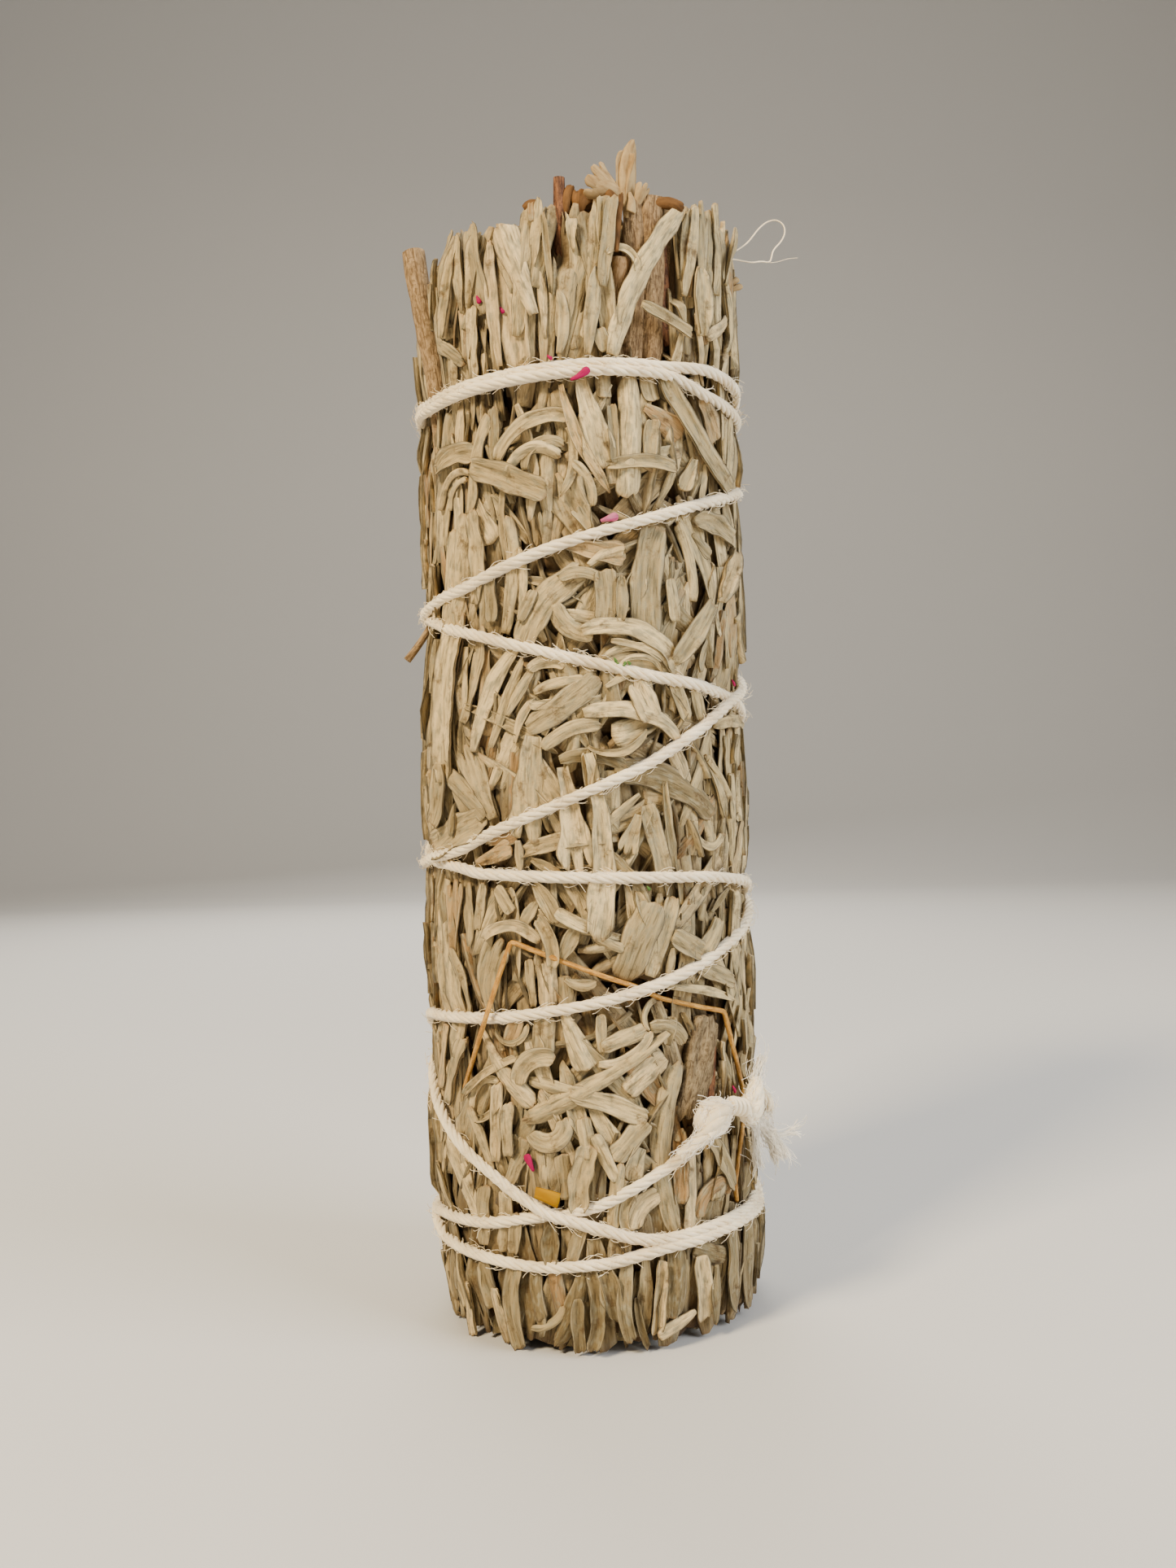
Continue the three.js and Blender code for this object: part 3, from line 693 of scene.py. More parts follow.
straw = {
    "radius": 0.23,
    "pixels": [     # of the photo, and the radius at each
        (571, 1338, 15.5), (584, 1292, 16.4), (597, 1250, 17.15), (613, 1200, 16.4), (626, 1162, 16.1),
        (628, 1158, 16.1), (633, 1159, 16.1), (705, 1187, 15.9), (745, 1201, 15.6), (779, 1212, 15.0),
        (812, 1227, 15.0), (862, 1238, 15.5), (886, 1242, 16.0), (890, 1244, 16.0), (891, 1248, 16.0),
        (902, 1293, 15.8), (912, 1335, 15.2), (913, 1380, 15.2), (903, 1454, 15.4), (905, 1476, 15.0),
    ],
    "clear": 0.55,
    "floor": 0.3,
}
straw["route"] = photoLine(straw["pixels"], photoPlace)
lanes = {
    "topBark": {"route": [(27, 14.6, 87.9), (27.6, 14.9, 95), (28.2, 15.0, 103.6)],
                "clear": 1.9, "floor": 1.0, "clearFrom": 91},
    "lowerBark": {"route": [(34.6, 15.5, 20.6), (38.6, 15.9, 25), (43.6, 15.7, 29.0)],
                  "clear": 1.6, "floor": 0.7},
    "yellowPetal": {"route": [(-17, 15.6, 14.9)], "clear": 1.0, "floor": 0.4},
    "lowerPinkPetal": {"route": [(-23, 15.6, 17.6)], "clear": 0.5, "floor": 0.4},
    "upperPinkPetal": {"route": [(9, 15.6, 76.1)], "clear": 0.8, "floor": 0.4},
    "knot": {"route": [(38, 15.9, 19.6), (48, 15.9, 20.2), (62, 16.2, 20.2), (73, 16.0, 20.6)],
             "clear": 1.6, "floor": 0.7},
}

# The leaves are laid one on another: bedTop is how high the pile stands at each place round and up the
# bundle, and bedCap how high it may stand, which is lower where the string presses it down.
bed = {
    "cell": 0.25,
    "bottom": -2.0,
    "top": 110.0,
    "capRadius": 16.3,      # the pressed outer surface
    "trough": 0.65,         # how much lower it is under the string
    "troughHalf": 0.5,
    "troughReach": 2.0,     # up or down from the string, where the leaves are level again
    "laneEdge": 0.5,        # how far past a lane its slope reaches
    "laneRise": 6,
}
bedColumns = round(2 * math.pi * bundle["radius"] / bed["cell"])
bedRows = round((bed["top"] - bed["bottom"]) / bed["cell"])
bedAngles = (np.arange(bedColumns) + 0.5) / bedColumns * 360
bedHeights = bed["bottom"] + (np.arange(bedRows) + 0.5) * bed["cell"]


def resampled(places, walked, rows):
    # the rows of a line at other places along it
    return np.stack([np.interp(places, walked, rows[:, k]) for k in range(3)], axis=1)


def lowerCap(cap, lane):
    route = np.array(lane["route"][-lane.get("shown", len(lane["route"])):], float)
    route += (lane.get("towards", 0), 0, 0)
    route[:, 2] = np.maximum(route[:, 2], lane.get("clearFrom", 0))
    fine = np.linspace(0, len(route) - 1, 24 * len(route))
    around = np.radians(bedAngles) * bundle["radius"]
    whole = 2 * math.pi * bundle["radius"]
    half, edge = lane["clear"], bed["laneEdge"]
    for angle, radius, height in resampled(fine, np.arange(len(route)), route):
        across = (around - math.radians(angle) * bundle["radius"] + whole / 2) % whole - whole / 2
        columns = np.abs(across) < half + edge
        rows = np.abs(bedHeights - height) < half + edge
        apart = np.hypot(across[columns][None, :], (bedHeights[rows] - height)[:, None])
        room = radius - lane["floor"] + bed["laneRise"] * smoothStep(half, half + edge, apart)
        block = np.ix_(rows, columns)
        cap[block] = np.minimum(cap[block], room)


def makeBed():
    farAway = 99.0
    top = np.full((bedRows, bedColumns), bundle["coreRadius"])
    nearest = np.full((bedRows, bedColumns), farAway)
    slope = np.gradient(stringHeights, stringTurns) / (math.radians(1) * bundle["radius"])
    for lap in range(int(stringTurns[-1] // 360) + 1):
        turns = bedAngles + 360 * lap
        here = np.interp(turns, stringTurns, stringHeights)
        tilt = np.interp(turns, stringTurns, slope)
        apart = np.abs(bedHeights[:, None] - here[None, :]) / np.sqrt(1 + tilt[None, :] ** 2)
        apart[:, (turns < stringTurns[0]) | (turns > stringTurns[-1])] = farAway
        nearest = np.minimum(nearest, apart)
    pressed = 1 - smoothStep(bed["troughHalf"], bed["troughReach"], nearest)
    cap = bed["capRadius"] - bed["trough"] * pressed
    for lane in (*twigs.values(), straw, *lanes.values()):
        lowerCap(cap, lane)
    return top, cap


bedTop, bedCap = makeBed()


def bedPlace(x, z):
    column = np.floor(x / bed["cell"]).astype(int) % bedColumns
    row = np.clip(np.floor((z - bed["bottom"]) / bed["cell"]).astype(int), 0, bedRows - 1)
    return row, column


# Leaf shapes: half width along the leaf, as shares of its length and of its widest half width
plainLeaf = {"columns": 4, "rows": 7, "fingers": 0, "slant": 0.0, "ragged": 0.0}
leafKinds = {
    "strap": {"slant": 0.04,
              "outline": [(0, 0.55), (0.1, 0.86), (0.5, 1.0), (0.9, 0.92), (0.96, 0.8), (1, 0.56)]},
    "slender": {"outline": [(0, 0.4), (0.3, 0.85), (0.58, 1.0), (0.86, 0.72), (1, 0.22)]},
    "wedge": {"outline": [(0, 0.3), (0.4, 0.62), (0.8, 1.0), (0.94, 0.9), (1, 0.5)]},
    "lobed": {"columns": 6, "rows": 8, "fingers": 3,
              "outline": [(0, 0.3), (0.3, 0.48), (0.6, 0.78), (0.8, 1.0), (1, 0.96)]},
    "coarse": {"columns": 2, "rows": 5, "slant": 0.05, "outline": [(0, 0.6), (0.5, 1.0), (1, 0.7)]},
    "chip": {"rows": 5, "slant": 0.06, "outline": [(0, 0.72), (1, 1.0)]},
}
for plain in ("strap", "slender", "wedge"):
    leafKinds["fine_" + plain] = {**leafKinds[plain], "columns": 8, "rows": 18, "ragged": 0.06}
leafKinds["fine_lobed"] = {**leafKinds["lobed"], "columns": 9, "rows": 16}


def outlineAt(kind, along):
    return np.interp(along, *zip(*leafKinds[kind]["outline"]))


def cutFingers(bm, count, base):
    # parts the leaf's end into lobes that narrow towards their tips
    parting = 1 / count
    cuts = [
        e for e in bm.edges
        if all(abs(abs(v.co.x) - parting) < 0.01 and v.co.y > base - 0.01 for v in e.verts)
    ]
    bmesh.ops.split_edges(bm, edges=cuts)
    for vert in bm.verts:
        if vert.co.y < base + 0.01:
            continue
        middle = sum(f.calc_center_median().x for f in vert.link_faces) / len(vert.link_faces)
        finger = round(middle / (2 * parting)) * 2 * parting
        toTip = (vert.co.y - base) / (1 - base)
        narrowed = 1 - 0.18 * toTip - 0.42 * toTip ** 4
        vert.co.x = finger * (1 + 0.12 * toTip) + (vert.co.x - finger) * narrowed
        offMiddle = abs(vert.co.x - finger) / parting
        vert.co.y += (0.03 if abs(finger) < 0.1 else -0.06) * toTip - 0.05 * toTip * offMiddle ** 2


def makeLeafTemplate(kind):
    # x across from -1 to 1, y along from 0 to 1, z 1 on the outer sheet and 0 on the inner one
    shape = {**plainLeaf, **leafKinds[kind]}
    bm = bmesh.new()
    bmesh.ops.create_grid(bm, x_segments=shape["columns"], y_segments=shape["rows"], size=1.0)
    for vert in bm.verts:
        vert.co.y = (vert.co.y + 1) / 2
    if shape["fingers"]:
        cutFingers(bm, shape["fingers"], 1 - round(0.25 * shape["rows"]) / shape["rows"])
    else:
        for vert in bm.verts:
            nearTip = max(0, vert.co.y - 0.7) / 0.3
            vert.co.y += shape["slant"] * vert.co.x * nearTip
            if shape["outline"][-1][1] < 0.6:
                vert.co.y -= 0.04 * nearTip * vert.co.x ** 2
            vert.co.y += shape["ragged"] * nearTip * noise.noise((vert.co.x * 7, 0, 4))
    bmesh.ops.solidify(bm, geom=bm.faces[:], thickness=1.0)
    lowest = min(v.co.z for v in bm.verts)
    for vert in bm.verts:
        vert.co.z -= lowest
    mesh = meshOf("leaf_" + kind, bm)
    flat = np.zeros(len(mesh.vertices) * 3)
    mesh.vertices.foreach_get("co", flat)
    return mesh, flat.reshape(-1, 3)


leafTemplates = {kind: makeLeafTemplate(kind) for kind in leafKinds}


def addTemplate(bm, kind):
    first = len(bm.verts)
    bm.from_mesh(leafTemplates[kind][0])
    bm.verts.ensure_lookup_table()
    return bm.verts[first:]


def centreLine(leaf, along):
    # the leaf's middle line on the unrolled bundle: round it, up it, and the way it runs
    steps = 32
    fine = np.linspace(0, 1, steps + 1)
    way = math.radians(leaf["lean"]) + math.radians(leaf["bend"]) * (fine - 0.5)
    between = way[:-1] + np.diff(way) / 2
    places = []
    for start, part in ((leaf["x"], np.sin(between)), (leaf["z"], np.cos(between))):
        walked = np.concatenate(([0], np.cumsum(part))) * (leaf["length"] / steps)
        places.append(start + np.interp(along, fine, walked - walked[steps // 2]))
    return *places, np.interp(along, fine, way)


def restLeaf(leaf):
    # where the leaf comes to rest on the pile, and how much it would have to be pressed in
    cell = 0.3
    along = np.linspace(0, 1, max(8, int(leaf["length"] / cell)))
    x, z, way = centreLine(leaf, along)
    half = leaf["width"] / 2 * outlineAt(leaf["kind"], along) * math.cos(math.radians(leaf["roll"]))
    across = np.linspace(-0.95, 0.95, 9)
    px = x[:, None] + across[None, :] * (half * np.cos(way))[:, None]
    pz = z[:, None] - across[None, :] * (half * np.sin(way))[:, None]
    row, column = bedPlace(px, pz)
    under = bedTop[row, column]
    room = bedCap[row, column].min(axis=1) + leaf["proud"]
    support = leaf["bite"] * under.mean(axis=1) + (1 - leaf["bite"]) * under.max(axis=1)
    reach = max(1, int(leaf["stiff"] / cell))
    line = slidingMean(slidingMax(support, reach // 2), reach) + leaf["thickness"]
    line = np.maximum(line, leaf["least"])
    room = np.maximum(room, leaf["least"])
    crowding = np.maximum(0, line - room).mean()
    line = slidingMean(np.minimum(line, room), 2)
    return {"along": along, "line": line, "row": row, "column": column, "across": across,
            "half": half, "crowding": crowding, "spare": (room - line).mean()}


def foldDrop(leaf, across, half):
    # how far the surface falls away from the middle line towards the leaf's edges
    folded = np.maximum(leaf["fold"] * half, foliage["leastFold"])
    return folded * np.abs(across) ** 1.7 - leaf["tilt"] * half * across


laidLeaves = [[] for sprig in range(8)]


def layLeaf(leaf, rest):
    drop = foldDrop(leaf, rest["across"][None, :], rest["half"][:, None])
    row, column = rest["row"], rest["column"]
    bedTop[row, column] = np.maximum(bedTop[row, column], rest["line"][:, None] - drop)
    leaf["rest"] = rest
    angle = math.degrees(leaf["x"] / bundle["radius"])
    laidLeaves[round(angle / 45) % 8].append(leaf)


def leafVertices(leaf):
    across, along, sheet = leafTemplates[leaf["kind"]][1].T
    x, z, way = centreLine(leaf, along)
    edge, edgeShift, ripple, rippleShift, pleat = leaf["waves"]
    walked = along * leaf["length"]
    full = leaf["width"] / 2 * outlineAt(leaf["kind"], along)
    nicks = np.sin(walked * edge + edgeShift + 2 * np.sign(across))
    full = full * (1 + leaf["ragged"] * np.abs(across) * nicks)
    roll = math.radians(leaf["roll"])
    out = np.interp(along, leaf["rest"]["along"], leaf["rest"]["line"])
    out = out - foldDrop(leaf, across, full) * math.cos(roll)
    out = out - (1 - across) * full * math.sin(roll)
    out = out - (1 - sheet) * leaf["thickness"] * (1 - 0.6 * across ** 4)
    out = out + leaf["rim"] * np.abs(across) ** 6
    out = out + leaf["lift"] * np.clip((along - 0.6) / 0.4, 0, 1) ** 2
    out = out - leaf["groove"] * (1 - np.abs(across)) ** 2
    ripples = np.sin(walked * ripple + 1.7 * across + rippleShift)
    pleats = np.sin(across * full * pleat + 0.4 * walked + rippleShift)
    out = out + leaf["crumple"] * (ripples + 0.6 * pleats)
    thin = (1 - sheet) * leaf["thickness"] * math.sin(roll)
    x = x + (across * full * math.cos(roll) + thin) * np.cos(way)
    z = z - (across * full * math.cos(roll) + thin) * np.sin(way)
    points = onBundle(np.degrees(x / bundle["radius"]), out * girthAt(z), z)
    return points, along, across, full, out


def addLeaf(bm, layers, leaf):
    points, along, across, full, depth = leafVertices(leaf)
    places = np.stack((along * leaf["length"], across * full, leaf["tone"] + 0 * along), axis=1)
    toEnd = np.maximum(bundle["topEdge"] - points[:, 2], 0)
    depth = np.maximum(depth, foliage["lit"] - foliage["litFall"] * toEnd)
    # painted shade: near the foot the leaves count as lying deeper, so they are shaded darker
    depth = depth - foliage["footShade"] * (1 - smoothStep(*foliage["footShadeSpan"], points[:, 2]))
    spots = np.stack((depth, np.abs(across), along), axis=1)
    verts = addTemplate(bm, leaf["kind"])
    for vert, point, place, spot in zip(verts, points.tolist(), places.tolist(), spots.tolist()):
        vert.co = point
        vert[layers[0]] = place
        vert[layers[1]] = spot


def leafLayers(bm):
    # leafPlace is along, across and tone; leafSpot is the depth that sets the painted shade (the distance
    # from the axis, raised near the top's cut ends and lowered at the foot), edge share and end share
    return [bm.verts.layers.float_vector.new(name) for name in ("leafPlace", "leafSpot")]


tumbling = {
    "footSpan": (8, 20),    # heights between which it sets in, and runs out again
    "topSpan": (80, 90),
    "backSpan": (80, 120),  # degrees from the front past which it comes in patches
    "backShare": 0.8,
    "frontMiddle": 8,
    "frontReach": 38,
    "least": 0.12,
}


def tumbleAt(angle, height):
    # how tumbled the leaves lie: 0 where they run along the bundle, 1 where they lie every way
    within = smoothStep(*tumbling["footSpan"], height) * (1 - smoothStep(*tumbling["topSpan"], height))
    wrapped = (angle + 180) % 360 - 180
    patch = 0.5 + 0.5 * math.sin(math.radians(2.1 * wrapped + 25)) * math.cos(height / 17)
    patch *= float(smoothStep(*tumbling["backSpan"], abs(wrapped)))
    front = math.exp(-((wrapped - tumbling["frontMiddle"]) / tumbling["frontReach"]) ** 2)
    least = tumbling["least"]
    return float(within) * (least + (1 - least) * max(front, tumbling["backShare"] * patch))


foliage = {
    # of each layer: how many are tried, the least room left above one, and the most it is pressed in
    "inner": (1500, 0.7, 0.12),
    "main": (4200, 0.02, 0.12),
    "last": (3600, 0.38, 0.01),
    "lastReach": 78,        # degrees each way that the last ones are laid
    "tries": 3,
    "turnedOver": 0.45,     # share of the leaves whose tips point down
    "topUprightFrom": 88,   # above that they point up, and below the other they hang
    "footUprightTo": 12,
    "leastFold": -0.3,      # a leaf's edges stand up no more than that
    "footPaintedShade": 0.38,       # painted shade: how much darker the lowest leaves' tones are
    "footPaintedShadeSpan": (6, 16),
    "footShade": 0.5,       # and how much deeper in the bundle they seem to lie, which darkens them by the painted depth shade
    "footShadeSpan": (3, 14),
    "lit": 15.6,            # at the top's cut ends light reaches in as if at this radius
    "litFall": 0.8,         # and that much less for each millimetre below them
    "lean": (9, 60),        # how far they lean either way, and how much further where they tumble
    "topLean": 10,
    "footLean": 11,
    "bend": (14, 22),
    "rolls": (0, 0, 0, 0, 55, 72),  # degrees that a narrow leaf may stand on its edge
    "tipPast": (-1.2, 0.8),         # the highest that a tip may stand, from the top edge
    "footFrom": (0.25, 1.8),        # and the lowest, from the ground
    "frontRoom": 0.5,       # kept free under the front leaves that are placed one by one
    "frontSpan": (78, 92),  # degrees from the front over which that room runs out
}
looseSizes = {
    # up to which share of the layer's leaves a kind is picked, the kind, its lengths and its widths
    "inner": [(1, "coarse", (9, 18), (1.8, 3.2))],
    "main": [
        (0.24, "lobed", (8, 14), (2.8, 4.2)),
        (0.58, "strap", (7, 17), (1.2, 2.9)),
        (0.88, "slender", (7, 16), (0.8, 1.9)),
        (1, "wedge", (5, 9), (1.8, 2.8)),
    ],
    "last": [(1, "any", (3, 9), (0.6, 1.5))],
}


# painted shade: how much a leaf's tone is darkened at that height near the foot
def footPaintedShade(height):
    return foliage["footPaintedShade"] * float(1 - smoothStep(*foliage["footPaintedShadeSpan"], height))


def leafCharacter():
    # what differs from leaf to leaf, besides its size and place
    return {
        "fold": rng.choice((-0.4, -0.2, 0.1, 0.25, 0.4, 0.6)), "tilt": rng.gauss(0, 0.14),
        "thickness": rng.uniform(0.2, 0.36), "stiff": rng.uniform(1.5, 3.5),
        "rim": rng.choice((-0.1, 0, 0.1, 0.2, 0.28)), "groove": rng.uniform(-0.12, 0.2),
        "bite": rng.uniform(0.2, 0.6), "lift": rng.gauss(0, 0.12), "ragged": rng.uniform(0.03, 0.14),
        "crumple": rng.uniform(0.03, 0.1),
        "waves": [rng.uniform(*span) for span in ((1, 2.4), (0, 6), (0.5, 1.3), (0, 6), (3, 6))],
        "tone": min(1.0, max(0.0, rng.gauss(0.5, 0.24) + (0.45 if rng.random() < 0.06 else 0))),
        "proud": 0, "least": 0,
    }


def looseLeaf(layer):
    reach = foliage["lastReach"] if layer == "last" else 180
    angle = rng.uniform(-reach, reach)
    height = rng.uniform(1, bundle["topEdge"] - 1)
    tumble = tumbleAt(angle, height)
    pick = rng.random()
    kind, lengths, widths = next(row[1:] for row in looseSizes[layer] if pick < row[0])
    if kind == "any":
        kind = rng.choice(("strap", "slender", "wedge"))
    length, width = rng.uniform(*lengths), rng.uniform(*widths)
    lean = rng.gauss(0, foliage["lean"][0] + foliage["lean"][1] * tumble ** 1.5)
    if rng.random() < foliage["turnedOver"]:
        lean += 180
    if height > foliage["topUprightFrom"]:
        lean = rng.gauss(0, foliage["topLean"])
    if height < foliage["footUprightTo"]:
        lean = 180 + rng.gauss(0, foliage["footLean"])
    character = leafCharacter()
    # painted shade near the foot
    character["tone"] = max(0.0, character["tone"] - footPaintedShade(height))
    if layer == "main":
        length = min(length, 6 + 10 * (1.2 - tumble))
    upright = length / 2 * abs(math.cos(math.radians(lean)))
    tip = height + upright
    foot = height - upright
    ceiling = topEdgeAt(angle) + rng.uniform(*foliage["tipPast"])
    ground = rng.uniform(*foliage["footFrom"])
    if tip > ceiling:
        height -= tip - ceiling
    if foot < ground:
        height += ground - foot
    roll = rng.choice(foliage["rolls"]) if kind in ("strap", "slender") else 0
    bend = rng.gauss(0, foliage["bend"][0] + foliage["bend"][1] * tumble)
    return {
        **character, "kind": kind, "x": math.radians(angle) * bundle["radius"], "z": height, "lean": lean,
        "length": length, "width": width, "bend": bend, "roll": roll,
    }


